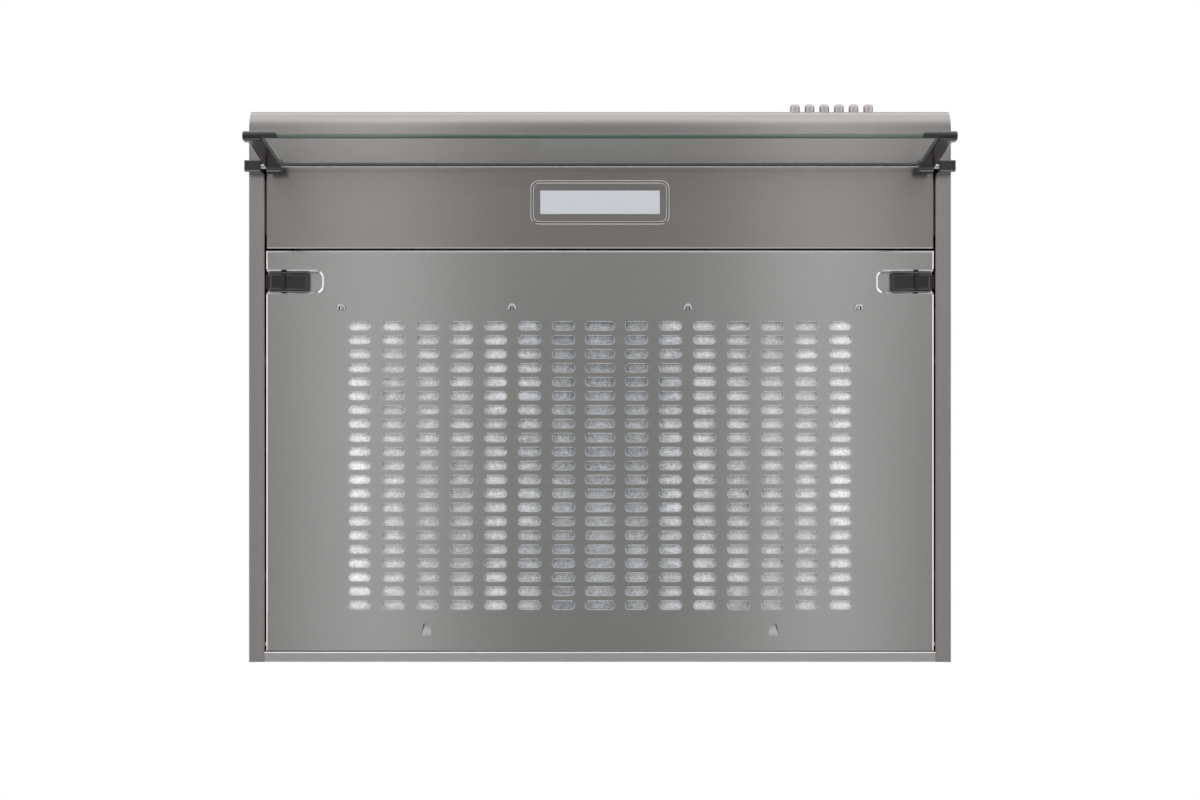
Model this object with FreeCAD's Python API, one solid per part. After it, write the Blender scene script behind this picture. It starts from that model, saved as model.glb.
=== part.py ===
import FreeCAD, Part
import math
import os

# Flat under-cabinet range hood with a hanging glass visor, 600 mm wide.
# Millimetres. X runs to the right seen from the front, -Y is the front, +Z is up.
# The origin is the centre of the four cabinet screws, on the upper face of the top plate.

Vec = FreeCAD.Vector

# Clearances and cutting
RUNNING_GAP = 0.05            # radial play of a pin or shaft in its bore
SLIDING_GAP = 0.3             # play round a piece that slides or lifts out
CUT_OVERRUN = 3.0             # how far a cutting tool runs past what it cuts

# Body
BODY_WIDTH = 600.0
BODY_DEPTH = 471.0
BODY_HEIGHT = 130.0
SCREWS_FROM_WALL = 160.0      # wall to the centre of the cabinet screws
SHEET = 1.0                   # stainless sheet of every panel
TOP_FLANGE_WIDTH = 15.0       # folded inwards under the top plate
SIDE_FLANGE_WIDTH = 13.3      # folded inwards along the bottom of each side
SIDE_HEM_HEIGHT = 8.0         # turned up along the inner edge of that flange
REAR_FLANGE_WIDTH = 8.0
REAR_HEM_HEIGHT = 2.0

# Front fascia
NOSE_RADIUS = 14.0            # round lower edge of the front
TOP_EDGE_RADIUS = 6.0
FASCIA_UNDERSIDE_DEPTH = 44.5
FASCIA_TOP_DEPTH = 30.0
FASCIA_HEM_HEIGHT = 6.0

# Cabinet screws, duct hole and cable gland in the top plate
SCREWS_FROM_SIDE = 50.0
SCREW_SPACING_Y = 200.0
SCREW_HOLE_RADIUS = 2.5
GLAND_FROM_SIDE = 70.0
GLAND_FROM_WALL = 30.0
GLAND_BORE_RADIUS = 4.0
GLAND_THREAD_RADIUS = 8.0
GLAND_FLAT_COUNT = 12         # the thread and its hole are drawn with flats
HEXAGON_COUNT = 6
GLAND_HEAD_RADIUS = 12.0      # over the corners of the hexagon
GLAND_HEAD_HEIGHT = 12.0
GLAND_NUT_HEIGHT = 4.0
GLAND_TAIL = 9.0              # threaded length below the top plate

# Lamp panel and lamp
PANEL_SIDE_GAP = 2.1          # between a panel and the hems beside it
LAMP_PANEL_FRONT_GAP = 2.5
LAMP_PANEL_DEPTH = 70.6
LAMP_PANEL_EDGE_HEIGHT = 7.0
BEND_RADIUS = 1.6             # outside radius of the folded edges
LAMP_EAR_INSET = 12.0         # how far the ears stop short of the panel's two long edges
BEZEL_BESIDE_LENS = 8.5
BEZEL_BEFORE_LENS = 9.0
BEZEL_CORNER = 7.5
BEZEL_PLATE = 1.0
BEZEL_RIM_WIDTH = 2.6
BEZEL_RIM_HEIGHT = 1.0
LAMP_FROM_PANEL_FRONT = 31.3  # front edge of the lamp panel to the middle of the lens
LENS_LENGTH = 102.0
LENS_WIDTH = 20.0
LENS_FLANGE = 2.5
LENS_FLANGE_THICKNESS = 1.2
LAMP_TRAY_MARGIN = 5.0
LAMP_TRAY_HEIGHT = 24.0
LED_BOARD_THICKNESS = 1.6
LED_COUNT = 8
LED_SIZE = 3.5
LED_HEIGHT = 0.8

# Push buttons and their switch
BUTTON_COUNT = 6
BUTTON_PITCH = 12.8
BUTTONS_FROM_SIDE = 97.8      # right-hand side of the body to the middle of the row
BUTTONS_ABOVE_BOTTOM = 32.0
BUTTON_RADIUS = 4.3
BUTTON_CHAMFER = 1.1
BUTTON_FLAT_COUNT = 12        # the small round caps and their holes are drawn with flats, to stay light
BUTTON_PROUD = 10.5
BUTTON_TRAVEL = 4.0
BUTTON_STEM = 5.0
BUTTON_STEM_LENGTH = 14.0
SWITCH_MARGIN = 7.0           # body left beside the outer buttons
SWITCH_HEIGHT = 24.0
SWITCH_DEPTH = 34.0
SWITCH_BRACKET_SHEET = 1.5
SWITCH_BRACKET_HEIGHT = 20.0

# Visor, built hanging straight down from its pivot and then leant forward
PIVOT_FROM_FRONT = 49.6
PIVOT_DROP = 14.0             # pivot below the underside of the body
VISOR_LEAN_DEGREES = 8.0
VISOR_PIN_RADIUS = 2.75
BRACKET_WIDTH = 13.4
BRACKET_LENGTH = 9.8          # front to back
BRACKET_BORE_DEPTH = 9.0
ARM_TO_BRACKET = 5.0          # where the pin shows between the arm and its block
ARM_WIDTH = 12.6
ARM_THICKNESS = 5.5
ARM_EYE_RADIUS = 6.0
ARM_LENGTH = 86.0             # pivot to the arm's end inside the clip
GLASS_THICKNESS = 4.0
GLASS_TOP_DROP = 3.0          # pivot to the upper edge of the glass
GLASS_HEIGHT = 85.0
GLASS_SIDE_GAP = 0.1
CLIP_HEIGHT = 11.0
CLIP_THICKNESS = 7.5
CLIP_BELOW_GLASS = 3.0
CLIP_FINGER = 12.1            # reach over the corner of the glass
CLIP_OUTER_WALL = 2.0
CLIP_ROUND = 1.6

# Grille panel
GRILLE_FRONT_GAP = 2.1
GRILLE_REAR_GAP = 1.5
GRILLE_EDGE_HEIGHT = 8.0
SLOTS_FROM_SIDE = 68.0        # least plain sheet between a panel's side and the slots
SLOTS_FROM_REAR = 38.5        # the same between its rear edge and the middle of the last row
SLOT_COLUMN_PITCH = 29.05
CENTRE_COLUMN_PITCH = 31.2    # the middle column is wider and stands a little apart
SLOT_ROW_PITCH = 11.93
SLOT_LENGTH = 20.5
CENTRE_SLOT_LENGTH = 26.5
SLOT_WIDTH = 8.8
SLOT_END_SHARE = 0.6          # length of a slot's pointed end, as a share of half its width
FIRST_ROW_FROM_FRONT = 64.1
GRILLE_PIN_RADIUS = 2.0
GRILLE_PIN_FROM_REAR = 5.5
GRILLE_PIN_HEIGHT = 4.0       # above the underside of the panel

# Latches
LATCH_FROM_FRONT = 26.3
POCKET_LENGTH = 48.0
POCKET_WIDTH = 19.6
POCKET_DEPTH = 6.0
POCKET_CORNER = 6.0
LATCH_EDGE_INSET = 1.7        # outer end of the slider inside the panel's edge
LATCH_LENGTH = 34.0
LATCH_WIDTH = 15.4
LATCH_TRAVEL = 8.0
LATCH_RIB_FROM_END = 12.2
LATCH_RIB_WIDTH = 4.6
LATCH_RIB_PROUD = 2.5
LATCH_RIB_REAR_SHARE = 0.5    # its width at the rear, as a share of its width at the front
TONGUE_WIDTH = 12.0
TONGUE_THICKNESS = 2.2
TONGUE_REACH = 4.0            # past the outer face of the hem
LATCH_STEM_LENGTH = 10.0
LATCH_STEM_WIDTH = 5.0
KEEPER_LENGTH = 22.0
KEEPER_WIDTH = 12.0
KEEPER_THICKNESS = 1.5

# Filter mat and the wires that hold it
FLEECE_THICKNESS = 8.0
FLEECE_BESIDE_SLOTS = 17.25
FLEECE_BEYOND_SLOTS = 8.0
WIRE_RADIUS = 1.25
WIRE_FLAT_COUNT = 6
WIRE_BESIDE_SLOTS = 5.65
WIRE_SPREAD = 146.2           # from a wire's outer leg to its inner one
WIRE_BEND_RADIUS = 6.0
FRONT_TAB_FROM_FRONT = 49.6
FRONT_TAB_RADIUS = 4.2
FRONT_TAB_DEPTH = 2.4
FRONT_TAB_TOP_SHARE = 0.6     # radius of the dome's flat top, as a share of its foot
FRONT_TAB_FLAT_DEGREES = 60   # the dome's half circle is drawn with three flats
REAR_TAB_FROM_REAR = 22.0     # wire crossbar to the rear edge of the panel
REAR_TAB_WIDTH = 9.0
REAR_TAB_LENGTH = 10.6
REAR_TAB_NECK_SHARE = 0.5     # width at the bend, as a share of the width at the rear
REAR_TAB_WAIST_SHARE = 0.8    # width half way, as a share of the width at the rear
REAR_TAB_HOOK = 5.0
TAB_SHEET = 0.8

# Blower, built about its shaft, which lies along X
SHAFT_Y = 27.0
IMPELLER_DROP = 14.0          # top of the wheel below the upper face of the top plate
BLOWER_ABOVE_FLEECE = 10.0
BLADE_DEPTH = 9.0             # outer to inner edge of the ring of blades
IMPELLER_WIDTH = 94.0
IMPELLER_RING = 2.0
BLADE_COUNT = 15
BLADE_THICKNESS = 1.2
BLADE_ANGLE_DEGREES = 35.0
HUB_RADIUS = 10.0
HUB_WIDTH = 26.0
SHAFT_RADIUS = 4.0
SCROLL_INNER_WIDTH = 106.0
SCROLL_WALL = 2.0
SCROLL_TONGUE_GAP = 6.0       # impeller to the scroll where it starts
SCROLL_STEP = 5.0             # added to the radius at each quarter turn
INLET_BEYOND_BORE = 3.0       # inlet's radius past the inner edge of the blades
INLET_FLAT_COUNT = 24
SCROLL_FLANGE = 17.0
MOTOR_RADIUS = 32.0
MOTOR_LENGTH = 52.0
MOTOR_FLAT_COUNT = 24
MOTOR_FROM_SCROLL = 12.0
MOTOR_LEG_RADIUS = 3.0
MOTOR_LEG_COUNT = 3
MOTOR_LEG_START_DEGREES = -30 # the first leg below the rear side
MOTOR_PLATE = 1.5
MOTOR_PLATE_RADIUS = 20.0
MOTOR_LEG_WALL_GRIP = 8.0     # from the inlet's edge to the middle of a leg
SHAFT_TAIL = 3.0              # shaft past the motor's far face
SHAFT_PAST_HUB = 4.0

# Duct collar and its two flaps
COLLAR_RADIUS = 59.5
COLLAR_WALL = 2.0
COLLAR_HEIGHT = 35.0
COLLAR_FLANGE_HALF = 67.0     # half the side of its square base
COLLAR_FLANGE = 1.5
COLLAR_STOP_LENGTH = 12.0     # two stops in the bore that the closed flaps lie over
COLLAR_STOP_REACH = 5.0
COLLAR_STOP_HEIGHT = 4.0
FLAP_AXIS_HEIGHT = 10.0
FLAP_THICKNESS = 1.0
FLAP_BARREL_HALF = 2.6         # half the side of the square barrel round the spindle
FLAP_SPINDLE_RADIUS = 1.5
FLAP_BARREL_REACH = 44.0      # end of each flap's barrel from the middle of the collar
FLAP_RIM_GAP = 0.7
FLAP_FLAT_COUNT = 32

# Electrical pieces behind the filter
JUNCTION_LENGTH = 76.0
JUNCTION_DEPTH = 44.0
JUNCTION_HEIGHT = 34.0
JUNCTION_LID = 2.0
CAPACITOR_LENGTH = 46.0
CAPACITOR_WIDTH = 20.0
CAPACITOR_HEIGHT = 30.0
CAPACITOR_FROM_MOTOR = 20.0

# Places worked out from the sizes above
REAR_Y = SCREWS_FROM_WALL
FRONT_Y = REAR_Y - BODY_DEPTH
BOTTOM_Z = -BODY_HEIGHT
HALF_WIDTH = BODY_WIDTH / 2
INSIDE_X = HALF_WIDTH - SHEET
HEM_INNER_X = HALF_WIDTH - SIDE_FLANGE_WIDTH
PANEL_HALF_WIDTH = HEM_INNER_X - PANEL_SIDE_GAP
FASCIA_REAR_Y = FRONT_Y + FASCIA_UNDERSIDE_DEPTH
LAMP_FRONT_Y = FASCIA_REAR_Y + LAMP_PANEL_FRONT_GAP
LAMP_REAR_Y = LAMP_FRONT_Y + LAMP_PANEL_DEPTH
LAMP_Y = LAMP_FRONT_Y + LAMP_FROM_PANEL_FRONT
GRILLE_FRONT_Y = LAMP_REAR_Y + GRILLE_FRONT_GAP
GRILLE_REAR_Y = REAR_Y - REAR_FLANGE_WIDTH - GRILLE_REAR_GAP
BASE_TOP_Z = BOTTOM_Z + SHEET
LATCH_Y = GRILLE_FRONT_Y + LATCH_FROM_FRONT
BUTTONS_X = HALF_WIDTH - BUTTONS_FROM_SIDE
BUTTONS_Z = BOTTOM_Z + BUTTONS_ABOVE_BOTTOM
PIVOT_Y = FRONT_Y + PIVOT_FROM_FRONT
PIVOT_Z = BOTTOM_Z - PIVOT_DROP
BRACKET_INNER_X = HALF_WIDTH - BRACKET_WIDTH
ARM_INNER_X = BRACKET_INNER_X - ARM_TO_BRACKET - ARM_WIDTH
GRILLE_PIN_Y = GRILLE_REAR_Y - GRILLE_PIN_FROM_REAR
GRILLE_PIN_Z = BOTTOM_Z + GRILLE_PIN_HEIGHT
POCKET_TOP_Z = BOTTOM_Z + POCKET_DEPTH

# Rows and columns of slots that the panel has room for: 21 by 15 at the sizes above
ROW_ROOM = GRILLE_REAR_Y - GRILLE_FRONT_Y - FIRST_ROW_FROM_FRONT - SLOTS_FROM_REAR
SLOT_ROW_COUNT = math.floor(ROW_ROOM / SLOT_ROW_PITCH) + 1
COLUMN_ROOM = PANEL_HALF_WIDTH - SLOTS_FROM_SIDE - SLOT_LENGTH / 2 - CENTRE_COLUMN_PITCH
SIDE_COLUMN_COUNT = math.floor(COLUMN_ROOM / SLOT_COLUMN_PITCH) + 1
SLOTS_END_X = CENTRE_COLUMN_PITCH + (SIDE_COLUMN_COUNT - 1) * SLOT_COLUMN_PITCH + SLOT_LENGTH / 2

# Filter mat and wires beside the slots
FLEECE_HALF_WIDTH = SLOTS_END_X + FLEECE_BESIDE_SLOTS
WIRE_OUTER_X = SLOTS_END_X + WIRE_BESIDE_SLOTS
WIRE_INNER_X = WIRE_OUTER_X - WIRE_SPREAD

# The lamp's frame goes round its lens
BEZEL_LENGTH = LENS_LENGTH + 2 * BEZEL_BESIDE_LENS
BEZEL_WIDTH = LENS_WIDTH + 2 * BEZEL_BEFORE_LENS

# The wheel is as large as the height between the top plate and the filter mat allows
BLOWER_ROOM = BODY_HEIGHT - SHEET - FLEECE_THICKNESS - BLOWER_ABOVE_FLEECE - IMPELLER_DROP
IMPELLER_RADIUS = (BLOWER_ROOM - SCROLL_TONGUE_GAP - SCROLL_STEP - SCROLL_WALL) / 2
IMPELLER_BORE_RADIUS = IMPELLER_RADIUS - BLADE_DEPTH
SCROLL_INLET_RADIUS = IMPELLER_BORE_RADIUS + INLET_BEYOND_BORE
SHAFT_Z = -IMPELLER_DROP - IMPELLER_RADIUS


def block(x_range, y_range, z_range):
    """A rectangular solid between a low and a high value on each axis."""
    corner = Vec(x_range[0], y_range[0], z_range[0])
    length = x_range[1] - x_range[0]
    width = y_range[1] - y_range[0]
    height = z_range[1] - z_range[0]
    return Part.makeBox(length, width, height, corner)


def about(middle, half):
    """The low and high value of a span with the given middle and half length."""
    return (middle - half, middle + half)


def rod(start, end, radius):
    """A round bar from one point to another."""
    return Part.makeCylinder(radius, start.distanceToPoint(end), start, end - start)


def rod_along_x(x_range, y, z, radius):
    """A round bar along X."""
    return rod(Vec(x_range[0], y, z), Vec(x_range[1], y, z), radius)


def rod_along_z(x, y, z_range, radius):
    """A round bar along Z."""
    return rod(Vec(x, y, z_range[0]), Vec(x, y, z_range[1]), radius)


def flat_sided(centre, axis, start_way, radius, length, flats):
    """A bar with flat sides: one corner stands from the centre along start_way."""
    corners = []
    for number in range(flats + 1):
        turn = FreeCAD.Rotation(axis, number * 360 / flats)
        corners.append(centre + turn.multVec(start_way * radius))
    return Part.Face(Part.makePolygon(corners)).extrude(axis * length)


def mirrored(shape):
    """The other hand of a piece, across the middle plane of the hood."""
    return shape.mirror(Vec(0, 0, 0), Vec(1, 0, 0))


def fused(shapes):
    """One solid made of several that touch or overlap."""
    return shapes[0].multiFuse(shapes[1:]).removeSplitter()


def lines_along(shape, direction, keep=lambda edge: True):
    """The straight edges of a shape that run along a direction."""
    found = []
    for edge in shape.Edges:
        if edge.Curve.TypeId != "Part::GeomLine":
            continue
        if abs(abs(edge.Curve.Direction.dot(direction)) - 1) < 1e-6 and keep(edge):
            found.append(edge)
    return found


def rounded_block(x_range, y_range, z_range, radius):
    """A rectangular solid with its four upright edges rounded."""
    solid = block(x_range, y_range, z_range)
    return solid.makeFillet(radius, lines_along(solid, Vec(0, 0, 1)))


def outline(start, steps):
    """A closed wire from a start point. A step is an end point, or the middle and end of an arc."""
    edges = []
    here = start
    for step in steps + [start]:
        if isinstance(step, tuple):
            edges.append(Part.Arc(here, step[0], step[1]).toShape())
            here = step[1]
        elif here.distanceToPoint(step) > 0:
            edges.append(Part.LineSegment(here, step).toShape())
            here = step
    return Part.Wire(edges)


def extruded_along_x(wire, x_range):
    """The solid swept along X by an outline drawn in the YZ plane at X zero."""
    solid = Part.Face(wire).extrude(Vec(x_range[1] - x_range[0], 0, 0))
    solid.translate(Vec(x_range[0], 0, 0))
    return solid


def yz(y, z):
    """A point of a side profile."""
    return Vec(0, y, z)


def on_arc(y, z, radius, degrees):
    """A point of a side profile, on a circle about y, z. Zero degrees is +Y, 90 is +Z."""
    angle = math.radians(degrees)
    return yz(y + radius * math.cos(angle), z + radius * math.sin(angle))


# Body sheets

def side_outline():
    """Side view of the whole body: square at the wall, round at the front's two edges."""
    nose_y = FRONT_Y + NOSE_RADIUS
    nose_z = BOTTOM_Z + NOSE_RADIUS
    top_y = FRONT_Y + TOP_EDGE_RADIUS
    top_z = -TOP_EDGE_RADIUS
    steps = [
        yz(nose_y, BOTTOM_Z),
        (on_arc(nose_y, nose_z, NOSE_RADIUS, 225), yz(FRONT_Y, nose_z)),
        yz(FRONT_Y, top_z),
        (on_arc(top_y, top_z, TOP_EDGE_RADIUS, 135), yz(top_y, 0)),
        yz(REAR_Y, 0),
    ]
    return outline(yz(REAR_Y, BOTTOM_Z), steps)


def tongue_window():
    """The hole in the hem that a latch tongue enters, right-hand side."""
    half = TONGUE_WIDTH / 2 + 2 * SLIDING_GAP
    tongue_low, tongue_high = tongue_heights()
    x_range = (HEM_INNER_X - CUT_OVERRUN, HEM_INNER_X + SHEET + CUT_OVERRUN)
    z_range = (tongue_low - 2 * SLIDING_GAP, tongue_high + 2 * SLIDING_GAP)
    return block(x_range, about(LATCH_Y, half), z_range)


def side_panel():
    """Right-hand side: wall, top flange, bottom flange and the hem along its inner edge."""
    wall = extruded_along_x(side_outline(), (INSIDE_X, HALF_WIDTH))
    flange_y = (FASCIA_REAR_Y, REAR_Y)
    top_y = (FRONT_Y + FASCIA_TOP_DEPTH, REAR_Y - SHEET)
    top = block((INSIDE_X - TOP_FLANGE_WIDTH, INSIDE_X), top_y, (-2 * SHEET, -SHEET))
    bottom = block((HEM_INNER_X, INSIDE_X), flange_y, (BOTTOM_Z, BASE_TOP_Z))
    hem_z = (BOTTOM_Z, BOTTOM_Z + SIDE_HEM_HEIGHT)
    hem = block((HEM_INNER_X, HEM_INNER_X + SHEET), (FASCIA_REAR_Y, REAR_Y - SHEET), hem_z)
    panel = fused([wall, top, bottom, hem])
    hole_x = (HEM_INNER_X - CUT_OVERRUN, HEM_INNER_X + SHEET + CUT_OVERRUN)
    pin_hole = rod_along_x(hole_x, GRILLE_PIN_Y, GRILLE_PIN_Z, GRILLE_PIN_RADIUS + RUNNING_GAP)
    return panel.cut([pin_hole, tongue_window()])


def rear_panel():
    """Wall sheet of the back, with a flange under the top plate and the narrow strip at the bottom."""
    wall = block((-INSIDE_X, INSIDE_X), (REAR_Y - SHEET, REAR_Y), (BASE_TOP_Z, -SHEET))
    inner_x = INSIDE_X - TOP_FLANGE_WIDTH
    top = block((-inner_x, inner_x), (REAR_Y - TOP_FLANGE_WIDTH, REAR_Y), (-2 * SHEET, -SHEET))
    strip_front = REAR_Y - REAR_FLANGE_WIDTH
    strip = block((-HEM_INNER_X, HEM_INNER_X), (strip_front, REAR_Y), (BOTTOM_Z, BASE_TOP_Z))
    hem_z = (BOTTOM_Z, BOTTOM_Z + REAR_HEM_HEIGHT)
    hem = block((-HEM_INNER_X, HEM_INNER_X), (strip_front, strip_front + SHEET), hem_z)
    return fused([wall, top, strip, hem])


def top_plate():
    """Flat top between the sides, with the duct hole, screw holes and gland hole."""
    y_range = (FRONT_Y + FASCIA_TOP_DEPTH, REAR_Y)
    plate = block((-INSIDE_X, INSIDE_X), y_range, (-SHEET, 0))
    through = (-SHEET - CUT_OVERRUN, CUT_OVERRUN)
    holes = [rod_along_z(0, 0, through, COLLAR_RADIUS - COLLAR_WALL)]
    screw_x = HALF_WIDTH - SCREWS_FROM_SIDE
    for x in (-screw_x, screw_x):
        for y in (-SCREW_SPACING_Y / 2, SCREW_SPACING_Y / 2):
            holes.append(rod_along_z(x, y, through, SCREW_HOLE_RADIUS))
    foot = Vec(gland_x(), gland_y(), -SHEET)
    thread = flat_sided(foot, Vec(0, 0, 1), Vec(1, 0, 0), GLAND_THREAD_RADIUS, SHEET, GLAND_FLAT_COUNT)
    holes.append(thread)
    return plate.cut(holes)


def front_fascia():
    """Front sheet: top return, upright face, round nose and the flat underside with its hem."""
    nose_y = FRONT_Y + NOSE_RADIUS
    nose_z = BOTTOM_Z + NOSE_RADIUS
    top_y = FRONT_Y + TOP_EDGE_RADIUS
    top_z = -TOP_EDGE_RADIUS
    back_y = FRONT_Y + FASCIA_TOP_DEPTH
    inner_face_y = FRONT_Y + SHEET
    steps = [
        yz(nose_y, BOTTOM_Z),
        (on_arc(nose_y, nose_z, NOSE_RADIUS, 225), yz(FRONT_Y, nose_z)),
        yz(FRONT_Y, top_z),
        (on_arc(top_y, top_z, TOP_EDGE_RADIUS, 135), yz(top_y, 0)),
        yz(back_y, 0),
        yz(back_y, -SHEET),
        yz(top_y, -SHEET),
        (on_arc(top_y, top_z, TOP_EDGE_RADIUS - SHEET, 135), yz(inner_face_y, top_z)),
        yz(inner_face_y, nose_z),
        (on_arc(nose_y, nose_z, NOSE_RADIUS - SHEET, 225), yz(nose_y, BASE_TOP_Z)),
        yz(FASCIA_REAR_Y - SHEET, BASE_TOP_Z),
        yz(FASCIA_REAR_Y - SHEET, BOTTOM_Z + FASCIA_HEM_HEIGHT),
        yz(FASCIA_REAR_Y, BOTTOM_Z + FASCIA_HEM_HEIGHT),
    ]
    sheet = extruded_along_x(outline(yz(FASCIA_REAR_Y, BOTTOM_Z), steps), (-INSIDE_X, INSIDE_X))
    hole_y = (FRONT_Y - CUT_OVERRUN, inner_face_y + CUT_OVERRUN)
    holes = []
    for x in button_places():
        holes.append(button_bar(x, hole_y, BUTTON_RADIUS + SLIDING_GAP))
    return sheet.cut(holes)


# Lamp

def lamp_panel():
    """Folded sheet between fascia and grille, with ears that rest on the side hems."""
    x_range = (-PANEL_HALF_WIDTH, PANEL_HALF_WIDTH)
    tray = block(x_range, (LAMP_FRONT_Y, LAMP_REAR_Y), (BOTTOM_Z, BOTTOM_Z + LAMP_PANEL_EDGE_HEIGHT))
    low_edges = lines_along(tray, Vec(1, 0, 0), lambda edge: edge.BoundBox.ZMax < BASE_TOP_Z)
    tray = tray.makeFillet(BEND_RADIUS, low_edges)
    hollow_y = (LAMP_FRONT_Y + SHEET, LAMP_REAR_Y - SHEET)
    hollow_x = (-PANEL_HALF_WIDTH + SHEET, PANEL_HALF_WIDTH - SHEET)
    hollow_z = (BASE_TOP_Z, BOTTOM_Z + LAMP_PANEL_EDGE_HEIGHT + CUT_OVERRUN)
    tray = tray.cut(block(hollow_x, hollow_y, hollow_z))
    ear_y = (LAMP_FRONT_Y + LAMP_EAR_INSET, LAMP_REAR_Y - LAMP_EAR_INSET)
    ear_z = (BOTTOM_Z + SIDE_HEM_HEIGHT, BOTTOM_Z + SIDE_HEM_HEIGHT + SHEET)
    ear = block((PANEL_HALF_WIDTH - SHEET, INSIDE_X), ear_y, ear_z)
    riser_x = (PANEL_HALF_WIDTH - SHEET, PANEL_HALF_WIDTH)
    riser = block(riser_x, ear_y, (BASE_TOP_Z, ear_z[1]))
    panel = fused([tray, ear, riser, mirrored(ear), mirrored(riser)])
    return panel.cut(lamp_opening(CUT_OVERRUN))


def lamp_opening(overrun):
    """The space in the lamp panel that the flange of the lens sits in."""
    half_x = LENS_LENGTH / 2 + LENS_FLANGE + SLIDING_GAP
    half_y = LENS_WIDTH / 2 + LENS_FLANGE + SLIDING_GAP
    z_range = (BOTTOM_Z - overrun, BASE_TOP_Z + overrun)
    return block(about(0, half_x), about(LAMP_Y, half_y), z_range)


def lamp_bezel():
    """Rounded frame under the lamp panel with a raised rim round its edge."""
    low = BOTTOM_Z - BEZEL_PLATE
    rim_low = low - BEZEL_RIM_HEIGHT
    x_range = about(0, BEZEL_LENGTH / 2)
    y_range = about(LAMP_Y, BEZEL_WIDTH / 2)
    frame = rounded_block(x_range, y_range, (rim_low, BOTTOM_Z), BEZEL_CORNER)
    recess_x = about(0, BEZEL_LENGTH / 2 - BEZEL_RIM_WIDTH)
    recess_y = about(LAMP_Y, BEZEL_WIDTH / 2 - BEZEL_RIM_WIDTH)
    recess_z = (rim_low - CUT_OVERRUN, low)
    recess = rounded_block(recess_x, recess_y, recess_z, BEZEL_CORNER - BEZEL_RIM_WIDTH)
    window_x = about(0, LENS_LENGTH / 2 + SLIDING_GAP)
    window_y = about(LAMP_Y, LENS_WIDTH / 2 + SLIDING_GAP)
    window = block(window_x, window_y, (rim_low - CUT_OVERRUN, BOTTOM_Z + CUT_OVERRUN))
    return frame.cut([recess, window])


def lamp_lens():
    """Frosted lens: its flange rests on the bezel and its face fills the window."""
    face_z = (BOTTOM_Z - BEZEL_PLATE, BOTTOM_Z)
    face = block(about(0, LENS_LENGTH / 2), about(LAMP_Y, LENS_WIDTH / 2), face_z)
    flange_x = about(0, LENS_LENGTH / 2 + LENS_FLANGE)
    flange_y = about(LAMP_Y, LENS_WIDTH / 2 + LENS_FLANGE)
    flange = block(flange_x, flange_y, (BOTTOM_Z, BOTTOM_Z + LENS_FLANGE_THICKNESS))
    return fused([face, flange])


def lamp_tray_halves():
    """Half length and half width of the lamp's housing."""
    half_x = LENS_LENGTH / 2 + LENS_FLANGE + LAMP_TRAY_MARGIN
    half_y = LENS_WIDTH / 2 + LENS_FLANGE + LAMP_TRAY_MARGIN
    return half_x, half_y


def lamp_tray():
    """Housing above the lens, open at the bottom."""
    half_x, half_y = lamp_tray_halves()
    top = BASE_TOP_Z + LAMP_TRAY_HEIGHT
    outer = block(about(0, half_x), about(LAMP_Y, half_y), (BASE_TOP_Z, top))
    inner_z = (BASE_TOP_Z - CUT_OVERRUN, top - SHEET)
    inner = block(about(0, half_x - SHEET), about(LAMP_Y, half_y - SHEET), inner_z)
    return outer.cut(inner)


def led_board():
    """Circuit board under the roof of the lamp housing."""
    roof = BASE_TOP_Z + LAMP_TRAY_HEIGHT - SHEET
    z_range = (roof - LED_BOARD_THICKNESS, roof)
    return block(about(0, LENS_LENGTH / 2), about(LAMP_Y, LENS_WIDTH / 2), z_range)


def led_chips():
    """The row of light-emitting diodes on the underside of the board."""
    board_low = BASE_TOP_Z + LAMP_TRAY_HEIGHT - SHEET - LED_BOARD_THICKNESS
    pitch = LENS_LENGTH / LED_COUNT
    chips = []
    for number in range(LED_COUNT):
        x = (number + 0.5) * pitch - LENS_LENGTH / 2
        z_range = (board_low - LED_HEIGHT, board_low)
        chips.append(block(about(x, LED_SIZE / 2), about(LAMP_Y, LED_SIZE / 2), z_range))
    return Part.makeCompound(chips)


# Buttons and switch

def button_places():
    """X of each push button, from left to right."""
    first = BUTTONS_X - (BUTTON_COUNT - 1) * BUTTON_PITCH / 2
    return [first + number * BUTTON_PITCH for number in range(BUTTON_COUNT)]


def cap_rear_y():
    """Back of a button's cap at rest, far enough in to stay in its hole."""
    return FRONT_Y + SHEET + BUTTON_TRAVEL


def switch_front_y():
    """Front of the switch body, just clear of a pressed button."""
    return cap_rear_y() + BUTTON_TRAVEL + SLIDING_GAP


def button_bar(x, y_range, radius):
    """The flat-sided bar of a button's cap, or of its hole."""
    start = Vec(x, y_range[0], BUTTONS_Z)
    length = y_range[1] - y_range[0]
    return flat_sided(start, Vec(0, 1, 0), Vec(0, 0, 1), radius, length, BUTTON_FLAT_COUNT)


def button(x):
    """Round cap with a chamfered end, on a square stem that enters the switch."""
    tip_y = FRONT_Y - BUTTON_PROUD
    cap = button_bar(x, (tip_y, cap_rear_y()), BUTTON_RADIUS)
    tip = [edge for edge in cap.Edges if edge.BoundBox.YMax < tip_y + BUTTON_CHAMFER / 2]
    cap = cap.makeChamfer(BUTTON_CHAMFER, tip)
    stem_y = (cap_rear_y(), cap_rear_y() + BUTTON_STEM_LENGTH)
    stem = block(about(x, BUTTON_STEM / 2), stem_y, about(BUTTONS_Z, BUTTON_STEM / 2))
    return fused([cap, stem])


def switch_half_length():
    """Half the length of the switch body, which reaches past the outer buttons."""
    return (BUTTON_COUNT - 1) * BUTTON_PITCH / 2 + BUTTON_RADIUS + SWITCH_MARGIN


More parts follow.
